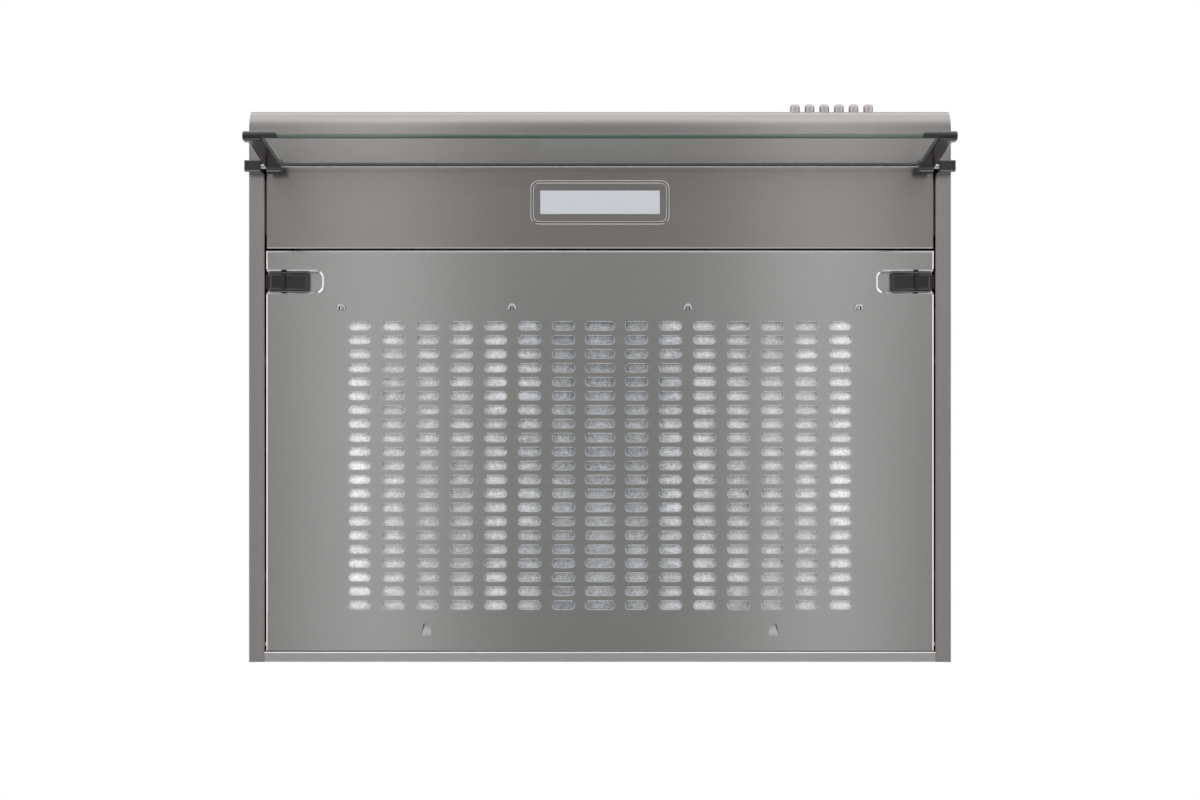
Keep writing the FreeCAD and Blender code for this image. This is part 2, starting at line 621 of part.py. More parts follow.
def switch_block():
    """Body of the key switch, with a square hole for each stem."""
    y_range = (switch_front_y(), switch_front_y() + SWITCH_DEPTH)
    body = block(about(BUTTONS_X, switch_half_length()), y_range, about(BUTTONS_Z, SWITCH_HEIGHT / 2))
    hole_end = cap_rear_y() + BUTTON_STEM_LENGTH + BUTTON_TRAVEL + SLIDING_GAP
    half = BUTTON_STEM / 2 + SLIDING_GAP
    holes = []
    for x in button_places():
        hole_y = (switch_front_y() - CUT_OVERRUN, hole_end)
        holes.append(block(about(x, half), hole_y, about(BUTTONS_Z, half)))
    return body.cut(holes)


def switch_bracket():
    """Angle that hangs the switch behind the fascia: a shelf on its top and a plate on the fascia."""
    x_range = about(BUTTONS_X, switch_half_length())
    shelf_low = BUTTONS_Z + SWITCH_HEIGHT / 2
    shelf_z = (shelf_low, shelf_low + SWITCH_BRACKET_SHEET)
    inner_face_y = FRONT_Y + SHEET
    shelf = block(x_range, (inner_face_y, switch_front_y() + SWITCH_DEPTH), shelf_z)
    plate_y = (inner_face_y, inner_face_y + SWITCH_BRACKET_SHEET)
    plate = block(x_range, plate_y, (shelf_low, shelf_low + SWITCH_BRACKET_HEIGHT))
    return fused([shelf, plate])


# Visor

def leant(shape):
    """A piece of the visor turned forward about the pivot to its place at rest."""
    turned = shape.copy()
    turned.rotate(Vec(0, PIVOT_Y, PIVOT_Z), Vec(1, 0, 0), -VISOR_LEAN_DEGREES)
    return turned


def glass_low_z():
    """Lower edge of the glass before it leans."""
    return PIVOT_Z - GLASS_TOP_DROP - GLASS_HEIGHT


def clip_low_z():
    """Bottom of a corner clip before it leans."""
    return glass_low_z() - CLIP_BELOW_GLASS


def visor_bracket():
    """Right-hand pivot block under the side flange, round at the bottom, with a blind bore."""
    radius = BRACKET_LENGTH / 2
    steps = [
        yz(PIVOT_Y + radius, BOTTOM_Z),
        yz(PIVOT_Y + radius, PIVOT_Z),
        (on_arc(PIVOT_Y, PIVOT_Z, radius, 270), yz(PIVOT_Y - radius, PIVOT_Z)),
    ]
    wire = outline(yz(PIVOT_Y - radius, BOTTOM_Z), steps)
    body = extruded_along_x(wire, (BRACKET_INNER_X, HALF_WIDTH))
    bore_x = (BRACKET_INNER_X - CUT_OVERRUN, BRACKET_INNER_X + BRACKET_BORE_DEPTH)
    bore = rod_along_x(bore_x, PIVOT_Y, PIVOT_Z, VISOR_PIN_RADIUS + RUNNING_GAP)
    return body.cut(bore)


def visor_pin():
    """Steel pin riveted to the right-hand arm's outer face and turning in the pivot block."""
    x_range = (ARM_INNER_X + ARM_WIDTH, BRACKET_INNER_X + BRACKET_BORE_DEPTH - SLIDING_GAP)
    return rod_along_x(x_range, PIVOT_Y, PIVOT_Z, VISOR_PIN_RADIUS)


def visor_arm():
    """Right-hand arm: an eye round the pin and a flat shank down to the clip."""
    x_range = (ARM_INNER_X, ARM_INNER_X + ARM_WIDTH)
    eye = rod_along_x(x_range, PIVOT_Y, PIVOT_Z, ARM_EYE_RADIUS)
    shank_z = (PIVOT_Z - ARM_LENGTH, PIVOT_Z)
    shank = block(x_range, about(PIVOT_Y, ARM_THICKNESS / 2), shank_z)
    return leant(fused([eye, shank]))


def visor_clip():
    """Right-hand corner clip: a rounded cap over the arm's end and the corner of the glass."""
    x_range = (ARM_INNER_X - CLIP_FINGER, ARM_INNER_X + ARM_WIDTH + CLIP_OUTER_WALL)
    low = clip_low_z()
    body = block(x_range, about(PIVOT_Y, CLIP_THICKNESS / 2), (low, low + CLIP_HEIGHT))
    lower = lines_along(body, Vec(1, 0, 0), lambda edge: edge.BoundBox.ZMax < low + CLIP_ROUND)
    body = body.makeFillet(CLIP_ROUND, lower)
    high = low + CLIP_HEIGHT + CUT_OVERRUN
    arm_x = (ARM_INNER_X, ARM_INNER_X + ARM_WIDTH)
    arm_hole = block(arm_x, about(PIVOT_Y, ARM_THICKNESS / 2), (PIVOT_Z - ARM_LENGTH, high))
    glass_x = (x_range[0] - CUT_OVERRUN, ARM_INNER_X)
    glass_slot = block(glass_x, about(PIVOT_Y, GLASS_THICKNESS / 2), (glass_low_z(), high))
    return leant(body.cut([arm_hole, glass_slot]))


def visor_glass():
    """Clear glass pane between the arms."""
    half = ARM_INNER_X - GLASS_SIDE_GAP
    z_range = (glass_low_z(), PIVOT_Z - GLASS_TOP_DROP)
    return leant(block(about(0, half), about(PIVOT_Y, GLASS_THICKNESS / 2), z_range))


# Grille panel

def slot_columns():
    """X and length of each column of slots."""
    columns = [(0, CENTRE_SLOT_LENGTH)]
    for number in range(SIDE_COLUMN_COUNT):
        x = CENTRE_COLUMN_PITCH + number * SLOT_COLUMN_PITCH
        columns.append((x, SLOT_LENGTH))
        columns.append((-x, SLOT_LENGTH))
    return columns


def slot_tool(x, y, length):
    """A cutter for one slot. Its round ends are drawn with two flats each, to stay light."""
    half_length = length / 2
    half_width = SLOT_WIDTH / 2
    shoulder = half_length - half_width * SLOT_END_SHARE
    low = BOTTOM_Z - CUT_OVERRUN
    corners = [
        (half_length, 0),
        (shoulder, half_width),
        (-shoulder, half_width),
        (-half_length, 0),
        (-shoulder, -half_width),
        (shoulder, -half_width),
    ]
    points = [Vec(x + u, y + v, low) for u, v in corners]
    wire = Part.makePolygon(points + points[:1])
    return Part.Face(wire).extrude(Vec(0, 0, SHEET + 2 * CUT_OVERRUN))


def slot_tools():
    """Cutters for the whole field of slots."""
    tools = []
    for x, length in slot_columns():
        for row in range(SLOT_ROW_COUNT):
            y = GRILLE_FRONT_Y + FIRST_ROW_FROM_FRONT + row * SLOT_ROW_PITCH
            tools.append(slot_tool(x, y, length))
    return tools


def grille_tray():
    """Shallow folded tray, round along its bottom edges."""
    x_range = (-PANEL_HALF_WIDTH, PANEL_HALF_WIDTH)
    top = BOTTOM_Z + GRILLE_EDGE_HEIGHT
    tray = block(x_range, (GRILLE_FRONT_Y, GRILLE_REAR_Y), (BOTTOM_Z, top))

    def is_low(edge):
        return edge.BoundBox.ZMax < BASE_TOP_Z

    low_edges = lines_along(tray, Vec(1, 0, 0), is_low) + lines_along(tray, Vec(0, 1, 0), is_low)
    tray = tray.makeFillet(BEND_RADIUS, low_edges)
    hollow_x = (-PANEL_HALF_WIDTH + SHEET, PANEL_HALF_WIDTH - SHEET)
    hollow_y = (GRILLE_FRONT_Y + SHEET, GRILLE_REAR_Y - SHEET)
    return tray.cut(block(hollow_x, hollow_y, (BASE_TOP_Z, top + CUT_OVERRUN)))


def latch_pocket(grow, depth, outer_x):
    """The pressed pocket of the right-hand latch, or its outside when grown by the sheet."""
    inner_x = PANEL_HALF_WIDTH - POCKET_LENGTH - grow
    half = POCKET_WIDTH / 2 + grow
    z_range = (BOTTOM_Z - (CUT_OVERRUN if grow == 0 else 0), BOTTOM_Z + depth)
    solid = block((inner_x, outer_x), about(LATCH_Y, half), z_range)
    inner_corners = lines_along(solid, Vec(0, 0, 1), lambda edge: edge.BoundBox.XMax < inner_x + half)
    return solid.makeFillet(POCKET_CORNER + grow, inner_corners)


def latch_stem_slot():
    """Slot in the roof of the right-hand pocket that the latch's stem slides in."""
    outer = latch_stem_x()[1] + SLIDING_GAP
    inner = latch_stem_x()[0] - LATCH_TRAVEL - SLIDING_GAP
    half = LATCH_STEM_WIDTH / 2 + SLIDING_GAP
    z_range = (POCKET_TOP_Z - CUT_OVERRUN, POCKET_TOP_Z + SHEET + CUT_OVERRUN)
    return block((inner, outer), about(LATCH_Y, half), z_range)


def front_tab_y():
    """Flat side of the front wire tabs."""
    return GRILLE_FRONT_Y + FRONT_TAB_FROM_FRONT


def front_tab_ring(radius, depth):
    """Half outline of a front tab at one depth, drawn with three flats."""
    points = []
    for degrees in range(180, 361, FRONT_TAB_FLAT_DEGREES):
        angle = math.radians(degrees)
        points.append(Vec(radius * math.cos(angle), radius * math.sin(angle), -depth))
    return Part.makePolygon(points + points[:1])


def front_tab_form(grow, drop):
    """Solid half dome that narrows downwards, or its inside when grow is negative."""
    foot = front_tab_ring(FRONT_TAB_RADIUS + grow, 0)
    top = front_tab_ring(FRONT_TAB_RADIUS * FRONT_TAB_TOP_SHARE + grow, drop)
    return Part.makeLoft([foot, top], True, True)


def front_tab(x):
    """Half dome pressed down out of the sheet, open to the rear, where a wire's end hooks in."""
    dome = front_tab_form(0, FRONT_TAB_DEPTH)
    dome = dome.cut(front_tab_form(-TAB_SHEET, FRONT_TAB_DEPTH - TAB_SHEET))
    dome.translate(Vec(x, front_tab_y(), BOTTOM_Z))
    return dome


def front_tab_hole(x):
    """The half-round hole above a front tab."""
    hole = Part.Face(front_tab_ring(FRONT_TAB_RADIUS - TAB_SHEET, 0)).extrude(Vec(0, 0, SHEET))
    hole.translate(Vec(x, front_tab_y(), BOTTOM_Z))
    return hole


def rear_tab_x():
    """Middle of a wire, where its rear tab stands."""
    return (WIRE_OUTER_X + WIRE_INNER_X) / 2


def crossbar_y():
    """Rear crossbar of a filter wire."""
    return GRILLE_REAR_Y - REAR_TAB_FROM_REAR


def rear_tab_front_y():
    """Front edge of the hole that a rear tab is bent out of."""
    return crossbar_y() - WIRE_RADIUS - SLIDING_GAP - TAB_SHEET


def rear_tab(x):
    """Tongue bent up out of the sheet, hooked rearwards over the wire's crossbar."""
    hook_low = wire_z() + WIRE_RADIUS + SLIDING_GAP
    x_range = about(x, REAR_TAB_WIDTH / 2)
    front = rear_tab_front_y()
    upright = block(x_range, (front, front + TAB_SHEET), (BOTTOM_Z, hook_low + TAB_SHEET))
    hook = block(x_range, (front, front + TAB_SHEET + REAR_TAB_HOOK), (hook_low, hook_low + TAB_SHEET))
    return fused([upright, hook])


def rear_tab_hole(x):
    """The bell-shaped hole that a rear tab leaves, narrower at the front."""
    low = BOTTOM_Z - CUT_OVERRUN
    front = rear_tab_front_y() + TAB_SHEET
    rear = front + REAR_TAB_LENGTH
    shoulder = front + REAR_TAB_LENGTH / 2
    half = REAR_TAB_WIDTH / 2
    neck = half * REAR_TAB_NECK_SHARE
    waist = half * REAR_TAB_WAIST_SHARE
    corners = [(-neck, front), (neck, front), (waist, shoulder), (half, rear)]
    corners += [(-half, rear), (-waist, shoulder)]
    points = [Vec(x + u, v, low) for u, v in corners]
    face = Part.Face(Part.makePolygon(points + points[:1]))
    return face.extrude(Vec(0, 0, SHEET + 2 * CUT_OVERRUN))


def grille_panel():
    """The slotted tray with its two latch pockets, four front tabs and two rear tabs."""
    pocket_shell = latch_pocket(SHEET, POCKET_DEPTH + SHEET, PANEL_HALF_WIDTH)
    adds = [grille_tray(), pocket_shell, mirrored(pocket_shell)]
    cuts = []
    pocket = latch_pocket(0, POCKET_DEPTH, PANEL_HALF_WIDTH + CUT_OVERRUN)
    for tool in (pocket, latch_stem_slot(), rear_tab_hole(rear_tab_x())):
        cuts += [tool, mirrored(tool)]
    for x in (-WIRE_OUTER_X, -WIRE_INNER_X, WIRE_INNER_X, WIRE_OUTER_X):
        cuts.append(front_tab_hole(x))
    tray = fused(adds).cut(cuts + slot_tools())
    tabs = [rear_tab(rear_tab_x()), rear_tab(-rear_tab_x())]
    for x in (-WIRE_OUTER_X, -WIRE_INNER_X, WIRE_INNER_X, WIRE_OUTER_X):
        tabs.append(front_tab(x))
    return tray.multiFuse(tabs)


def grille_pin():
    """Right-hand hinge pin, welded to the side of the tray and turning in the hem."""
    x_range = (PANEL_HALF_WIDTH, HEM_INNER_X + 2 * SHEET)
    return rod_along_x(x_range, GRILLE_PIN_Y, GRILLE_PIN_Z, GRILLE_PIN_RADIUS)


# Latches

def latch_outer_x():
    """Outer end of the right-hand slider at rest, with its tongue out."""
    return PANEL_HALF_WIDTH - LATCH_EDGE_INSET


def latch_stem_x():
    """The stem stands at the outer part of the slider's travel."""
    middle = latch_outer_x() - LATCH_LENGTH / 2
    return about(middle, LATCH_STEM_LENGTH / 2)


def tongue_heights():
    """Bottom and top of a latch tongue, level with the upper part of the slider."""
    high = POCKET_TOP_Z - SLIDING_GAP
    return high - TONGUE_THICKNESS, high


def latch():
    """Right-hand slider: body flush with the panel, thumb rib, tongue and stem."""
    outer = latch_outer_x()
    body_z = (BOTTOM_Z, POCKET_TOP_Z - SLIDING_GAP)
    body = block((outer - LATCH_LENGTH, outer), about(LATCH_Y, LATCH_WIDTH / 2), body_z)
    tongue_x = (outer, HEM_INNER_X + SHEET + TONGUE_REACH)
    tongue = block(tongue_x, about(LATCH_Y, TONGUE_WIDTH / 2), tongue_heights())
    stem_z = (POCKET_TOP_Z - SLIDING_GAP, POCKET_TOP_Z + SHEET + SLIDING_GAP)
    stem = block(latch_stem_x(), about(LATCH_Y, LATCH_STEM_WIDTH / 2), stem_z)
    return fused([body, tongue, stem, latch_rib()])


def latch_rib():
    """Thumb rib across the slider, a wedge that narrows towards the rear."""
    x = latch_outer_x() - LATCH_RIB_FROM_END
    front = LATCH_Y - LATCH_WIDTH / 2
    rear = LATCH_Y + LATCH_WIDTH / 2
    half = LATCH_RIB_WIDTH / 2
    points = [Vec(x - half, front, BOTTOM_Z), Vec(x + half, front, BOTTOM_Z)]
    rear_half = half * LATCH_RIB_REAR_SHARE
    points += [Vec(x + rear_half, rear, BOTTOM_Z), Vec(x - rear_half, rear, BOTTOM_Z)]
    face = Part.Face(Part.makePolygon(points + points[:1]))
    return face.extrude(Vec(0, 0, -LATCH_RIB_PROUD))


def latch_keeper():
    """Plate clipped to the stem above the pocket, which keeps the slider in it."""
    low = POCKET_TOP_Z + SHEET + SLIDING_GAP
    middle = sum(latch_stem_x()) / 2
    y_range = about(LATCH_Y, KEEPER_WIDTH / 2)
    return block(about(middle, KEEPER_LENGTH / 2), y_range, (low, low + KEEPER_THICKNESS))


# Filter

def filter_fleece():
    """Grease filter mat lying on the panel over the field of slots."""
    first_row = GRILLE_FRONT_Y + FIRST_ROW_FROM_FRONT
    last_row = first_row + (SLOT_ROW_COUNT - 1) * SLOT_ROW_PITCH
    reach = SLOT_WIDTH / 2 + FLEECE_BEYOND_SLOTS
    y_range = (max(first_row - reach, front_tab_y() + WIRE_RADIUS), last_row + reach)
    y_range = (y_range[0], min(y_range[1], rear_tab_front_y()))
    z_range = (BASE_TOP_Z, BASE_TOP_Z + FLEECE_THICKNESS)
    return block(about(0, FLEECE_HALF_WIDTH), y_range, z_range)


def wire_z():
    """Middle of a filter wire, which lies on the mat."""
    return BASE_TOP_Z + FLEECE_THICKNESS + WIRE_RADIUS


def bent_path(points, radius):
    """A wire through the points, with every corner rounded by a tangent arc."""
    edges = []
    here = points[0]
    for before, corner, after in zip(points, points[1:], points[2:]):
        back = (before - corner).normalize()
        ahead = (after - corner).normalize()
        half_angle = back.getAngle(ahead) / 2
        trim = radius / math.tan(half_angle)
        start = corner + back * trim
        end = corner + ahead * trim
        centre_way = (back + ahead).normalize()
        middle = corner + centre_way * (radius / math.sin(half_angle) - radius)
        edges.append(Part.LineSegment(here, start).toShape())
        edges.append(Part.Arc(start, middle, end).toShape())
        here = end
    edges.append(Part.LineSegment(here, points[-1]).toShape())
    return Part.Wire(edges)


def filter_wire():
    """Right-hand spring wire: two legs along the mat, hooked into the front tabs, and a crossbar."""
    tab_y = front_tab_y() - WIRE_RADIUS
    high = wire_z()
    points = [
        Vec(WIRE_OUTER_X, tab_y, high),
        Vec(WIRE_OUTER_X, crossbar_y(), high),
        Vec(WIRE_INNER_X, crossbar_y(), high),
        Vec(WIRE_INNER_X, tab_y, high),
    ]
    ring = []
    for number in range(WIRE_FLAT_COUNT):
        angle = math.radians(number * 360 / WIRE_FLAT_COUNT)
        ring.append(points[0] + Vec(math.cos(angle), 0, math.sin(angle)) * WIRE_RADIUS)
    section = Part.makePolygon(ring + ring[:1])
    sweep = Part.Solid(bent_path(points, WIRE_BEND_RADIUS).makePipeShell([section], True, False))
    hooks = []
    for x in (WIRE_OUTER_X, WIRE_INNER_X):
        foot = Vec(x, tab_y, BOTTOM_Z)
        height = high - BOTTOM_Z
        hooks.append(flat_sided(foot, Vec(0, 0, 1), Vec(1, 0, 0), WIRE_RADIUS, height, WIRE_FLAT_COUNT))
    return fused([sweep] + hooks)


# Blower

def scroll_profile(grow):
    """Spiral of three quarter turns about the shaft that ends in an upright outlet.

    The profile starts at the tongue above the shaft, runs down the rear, along the bottom and up
    the front. Each quarter is larger than the last, and grow moves the whole wall outwards.
    """
    top = -SHEET
    first = IMPELLER_RADIUS + SCROLL_TONGUE_GAP
    second = first + SCROLL_STEP
    third = second + SCROLL_STEP
    rear_y = SHAFT_Y + first
    second_y = rear_y - second
    bottom_z = SHAFT_Z - second
    third_z = bottom_z + third
    front_y = second_y - third
    steps = [
        (on_arc(SHAFT_Y, SHAFT_Z, first + grow, 45), yz(rear_y + grow, SHAFT_Z)),
        (on_arc(second_y, SHAFT_Z, second + grow, -45), yz(second_y, bottom_z - grow)),
        (on_arc(second_y, third_z, third + grow, 225), yz(front_y - grow, third_z)),
        yz(front_y - grow, top),
        yz(SHAFT_Y + grow, top),
    ]
    if grow > 0:
        meeting = math.sqrt((first + grow) ** 2 - grow ** 2)
        start = yz(SHAFT_Y + grow, SHAFT_Z + meeting)
    else:
        start = yz(SHAFT_Y, SHAFT_Z + first)
    return outline(start, steps)


def scroll_outlet():
    """Front and rear faces of the outlet."""
    first = IMPELLER_RADIUS + SCROLL_TONGUE_GAP
    front_y = SHAFT_Y + first - (first + SCROLL_STEP) - (first + 2 * SCROLL_STEP)
    return front_y, SHAFT_Y


def flange_ranges():
    """X and Y range of the flange round the outlet."""
    front_y, rear_y = scroll_outlet()
    half_x = SCROLL_INNER_WIDTH / 2 + SCROLL_FLANGE
    return (-half_x, half_x), (front_y - SCROLL_FLANGE, rear_y + SCROLL_FLANGE)


def blower_scroll():
    """Hollow snail housing, open at the top and with an inlet in each side."""
    half = SCROLL_INNER_WIDTH / 2
    outer = extruded_along_x(scroll_profile(SCROLL_WALL), about(0, half + SCROLL_WALL))
    inner = extruded_along_x(scroll_profile(0), about(0, half))
    flange_x, flange_y = flange_ranges()
    flange = block(flange_x, flange_y, (-SHEET - SCROLL_WALL, -SHEET))
    inlet_start = Vec(-half - SCROLL_WALL, SHAFT_Y, SHAFT_Z)
    inlet_length = SCROLL_INNER_WIDTH + 2 * SCROLL_WALL
    along = Vec(1, 0, 0)
    inlet = flat_sided(inlet_start, along, Vec(0, 1, 0), SCROLL_INLET_RADIUS, inlet_length, INLET_FLAT_COUNT)
    return fused([outer, flange]).cut([inner, inlet])


def wheel_disc(x_range, radius):
    """A disc on the shaft, drawn with one flat for each blade."""
    start = Vec(x_range[0], SHAFT_Y, SHAFT_Z)
    length = x_range[1] - x_range[0]
    return flat_sided(start, Vec(1, 0, 0), Vec(0, 1, 0), radius, length, BLADE_COUNT)


def impeller():
    """Double-inlet wheel: a centre disc with its hub, a ring of blades and a rim at each end."""
    middle_radius = (IMPELLER_RADIUS + IMPELLER_BORE_RADIUS) / 2
    half = IMPELLER_WIDTH / 2
    pieces = [wheel_disc(about(0, HUB_WIDTH / 2), HUB_RADIUS)]
    pieces.append(wheel_disc(about(0, IMPELLER_RING / 2), IMPELLER_RADIUS))
    for x_range in ((-half, -half + IMPELLER_RING), (half - IMPELLER_RING, half)):
        rim = wheel_disc(x_range, IMPELLER_RADIUS)
        pieces.append(rim.cut(wheel_disc(about(0, half + CUT_OVERRUN), IMPELLER_BORE_RADIUS)))
    for number in range(BLADE_COUNT):
        y_range = about(SHAFT_Y + middle_radius, BLADE_DEPTH / 2 - BLADE_THICKNESS)
        blade = block(about(0, half), y_range, about(SHAFT_Z, BLADE_THICKNESS / 2))
        blade.rotate(Vec(0, SHAFT_Y + middle_radius, SHAFT_Z), Vec(1, 0, 0), BLADE_ANGLE_DEGREES)
        blade.rotate(Vec(0, SHAFT_Y, SHAFT_Z), Vec(1, 0, 0), number * 360 / BLADE_COUNT)
        pieces.append(blade)
    bore = rod_along_x(about(0, HUB_WIDTH), SHAFT_Y, SHAFT_Z, SHAFT_RADIUS)
    return fused(pieces).cut(bore)


def motor_x():
    """X range of the motor, on the left of the scroll."""
    near = -SCROLL_INNER_WIDTH / 2 - SCROLL_WALL - MOTOR_FROM_SCROLL
    return (near - MOTOR_LENGTH, near)


def motor_shaft():
    """Shaft through the motor and the wheel's hub."""
    x_range = (motor_x()[0] - SHAFT_TAIL, HUB_WIDTH / 2 + SHAFT_PAST_HUB)
    return rod_along_x(x_range, SHAFT_Y, SHAFT_Z, SHAFT_RADIUS)


def motor_body():
    """Motor can with the shaft's bore through it."""
    start = Vec(motor_x()[0], SHAFT_Y, SHAFT_Z)
    can = flat_sided(start, Vec(1, 0, 0), Vec(0, 1, 0), MOTOR_RADIUS, MOTOR_LENGTH, MOTOR_FLAT_COUNT)
    bore_x = (motor_x()[0] - CUT_OVERRUN, motor_x()[1] + CUT_OVERRUN)
    return can.cut(rod_along_x(bore_x, SHAFT_Y, SHAFT_Z, SHAFT_RADIUS + RUNNING_GAP))


def motor_bracket():
    """Plate on the motor's face with three legs to the scroll, outside the inlet."""
    face_x = motor_x()[1]
    plate_x = (face_x, face_x + MOTOR_PLATE)
    leg_place = SCROLL_INLET_RADIUS + MOTOR_LEG_WALL_GRIP
    start = Vec(face_x, SHAFT_Y, SHAFT_Z)
    flats = 2 * MOTOR_LEG_COUNT
    plate = flat_sided(start, Vec(1, 0, 0), Vec(0, 0, 1), MOTOR_PLATE_RADIUS, MOTOR_PLATE, flats)
    pieces = [plate]
    for number in range(MOTOR_LEG_COUNT):
        turn = number * 360 / MOTOR_LEG_COUNT + MOTOR_LEG_START_DEGREES
        arm_y = (SHAFT_Y, SHAFT_Y + leg_place)
        arm = block(plate_x, arm_y, about(SHAFT_Z, MOTOR_LEG_RADIUS))
        leg_x = (face_x, -SCROLL_INNER_WIDTH / 2 - SCROLL_WALL)
        leg = block(leg_x, about(SHAFT_Y + leg_place, MOTOR_LEG_RADIUS), about(SHAFT_Z, MOTOR_LEG_RADIUS))
        for piece in (arm, leg):
            piece.rotate(Vec(0, SHAFT_Y, SHAFT_Z), Vec(1, 0, 0), turn)
            pieces.append(piece)
    bore_x = (plate_x[0] - CUT_OVERRUN, plate_x[1] + CUT_OVERRUN)
    bore = rod_along_x(bore_x, SHAFT_Y, SHAFT_Z, SHAFT_RADIUS + SLIDING_GAP)
    return fused(pieces).cut(bore)


# Duct collar and flaps

def duct_collar():
    """Round spigot on the top plate, with a stop in its bore under each closed flap."""
    inner_radius = COLLAR_RADIUS - COLLAR_WALL
    base = block(about(0, COLLAR_FLANGE_HALF), about(0, COLLAR_FLANGE_HALF), (0, COLLAR_FLANGE))
    tube = rod_along_z(0, 0, (0, COLLAR_HEIGHT), COLLAR_RADIUS)
    bore = rod_along_z(0, 0, (-CUT_OVERRUN, COLLAR_HEIGHT + CUT_OVERRUN), inner_radius)
    stop_top = FLAP_AXIS_HEIGHT - FLAP_THICKNESS / 2 - SLIDING_GAP
    stop_z = (stop_top - COLLAR_STOP_HEIGHT, stop_top)
    collar = fused([base, tube]).cut(bore)
    stops = []
    for side in (-1, 1):
        inner_end = side * (inner_radius - COLLAR_STOP_REACH)
        outer_end = side * (inner_radius + COLLAR_WALL / 2)
        y_range = sorted((inner_end, outer_end))
        stops.append(block(about(0, COLLAR_STOP_LENGTH / 2), y_range, stop_z))
    return fused([collar] + stops)


def flap_spindle():
    """Steel rod across the collar that both flaps turn on, its ends against the bore."""
    half = math.sqrt((COLLAR_RADIUS - COLLAR_WALL) ** 2 - FLAP_SPINDLE_RADIUS ** 2)
    return rod_along_x(about(0, half), 0, FLAP_AXIS_HEIGHT, FLAP_SPINDLE_RADIUS)


def flap(side):
    """A half-round flap to one side of the spindle (-1 front, 1 rear), with half of the barrel."""
    radius = COLLAR_RADIUS - COLLAR_WALL - FLAP_RIM_GAP
    low = Vec(0, 0, FLAP_AXIS_HEIGHT - FLAP_THICKNESS / 2)
    disc = flat_sided(low, Vec(0, 0, 1), Vec(1, 0, 0), radius, FLAP_THICKNESS, FLAP_FLAT_COUNT)
    near = FLAP_SPINDLE_RADIUS + 2 * SLIDING_GAP
    half_y = sorted((side * near, side * radius))
    plate = disc.common(block(about(0, radius), half_y, about(FLAP_AXIS_HEIGHT, FLAP_BARREL_HALF)))
    own_x = sorted((side * SLIDING_GAP, side * FLAP_BARREL_REACH))
    other_x = sorted((side * SLIDING_GAP, -side * (FLAP_BARREL_REACH + 2 * SLIDING_GAP)))
    room = FLAP_BARREL_HALF * math.sqrt(2) + 2 * SLIDING_GAP
    plate = plate.cut(block(other_x, about(0, room), about(FLAP_AXIS_HEIGHT, room)))
    barrel = block(own_x, about(0, FLAP_BARREL_HALF), about(FLAP_AXIS_HEIGHT, FLAP_BARREL_HALF))
    bore_radius = FLAP_SPINDLE_RADIUS + RUNNING_GAP
    bore = rod_along_x(about(0, radius), 0, FLAP_AXIS_HEIGHT, bore_radius)
    return fused([plate, barrel]).cut(bore)


# Electrical pieces

def gland_x():
    """The cable comes in on the left."""
    return GLAND_FROM_SIDE - HALF_WIDTH


def gland_y():
    """Near the wall."""
    return REAR_Y - GLAND_FROM_WALL


def cable_gland():
    """Cable gland in the top plate: hexagon above, threaded tail and lock nut below."""
    x = gland_x()
    y = gland_y()
    up = Vec(0, 0, 1)
    head = flat_sided(Vec(x, y, 0), up, Vec(1, 0, 0), GLAND_HEAD_RADIUS, GLAND_HEAD_HEIGHT, HEXAGON_COUNT)
    tail_foot = Vec(x, y, -GLAND_TAIL)
    tail = flat_sided(tail_foot, up, Vec(1, 0, 0), GLAND_THREAD_RADIUS, GLAND_TAIL, GLAND_FLAT_COUNT)
    nut_foot = Vec(x, y, -SHEET - GLAND_NUT_HEIGHT)
    nut = flat_sided(nut_foot, up, Vec(1, 0, 0), GLAND_HEAD_RADIUS, GLAND_NUT_HEIGHT, HEXAGON_COUNT)
    through = (-GLAND_TAIL - CUT_OVERRUN, GLAND_HEAD_HEIGHT + CUT_OVERRUN)
    return fused([head, tail, nut]).cut(rod_along_z(x, y, through, GLAND_BORE_RADIUS))


def junction_ranges():
    """Where the junction box hangs: under the top plate, against the wall, beside the gland."""
    low_x = gland_x() + GLAND_HEAD_RADIUS + JUNCTION_LID
    x_range = (low_x, low_x + JUNCTION_LENGTH)
    rear = REAR_Y - TOP_FLANGE_WIDTH - SLIDING_GAP
    return x_range, (rear - JUNCTION_DEPTH, rear), (-SHEET - JUNCTION_HEIGHT, -SHEET)


def junction_box():
    """Plastic box for the wire joints."""
    x_range, y_range, z_range = junction_ranges()
    return block(x_range, y_range, (z_range[0] + JUNCTION_LID, z_range[1]))


def junction_box_lid():
    """Its lid, on the underside."""
    x_range, y_range, z_range = junction_ranges()
    return block(x_range, y_range, (z_range[0], z_range[0] + JUNCTION_LID))


def capacitor():
    """Box-shaped motor capacitor under the top plate, in front of the motor."""
    x_range = about(sum(motor_x()) / 2, CAPACITOR_LENGTH / 2)
    rear = SHAFT_Y - MOTOR_RADIUS - CAPACITOR_FROM_MOTOR
    return block(x_range, (rear - CAPACITOR_WIDTH, rear), (-SHEET - CAPACITOR_HEIGHT, -SHEET))


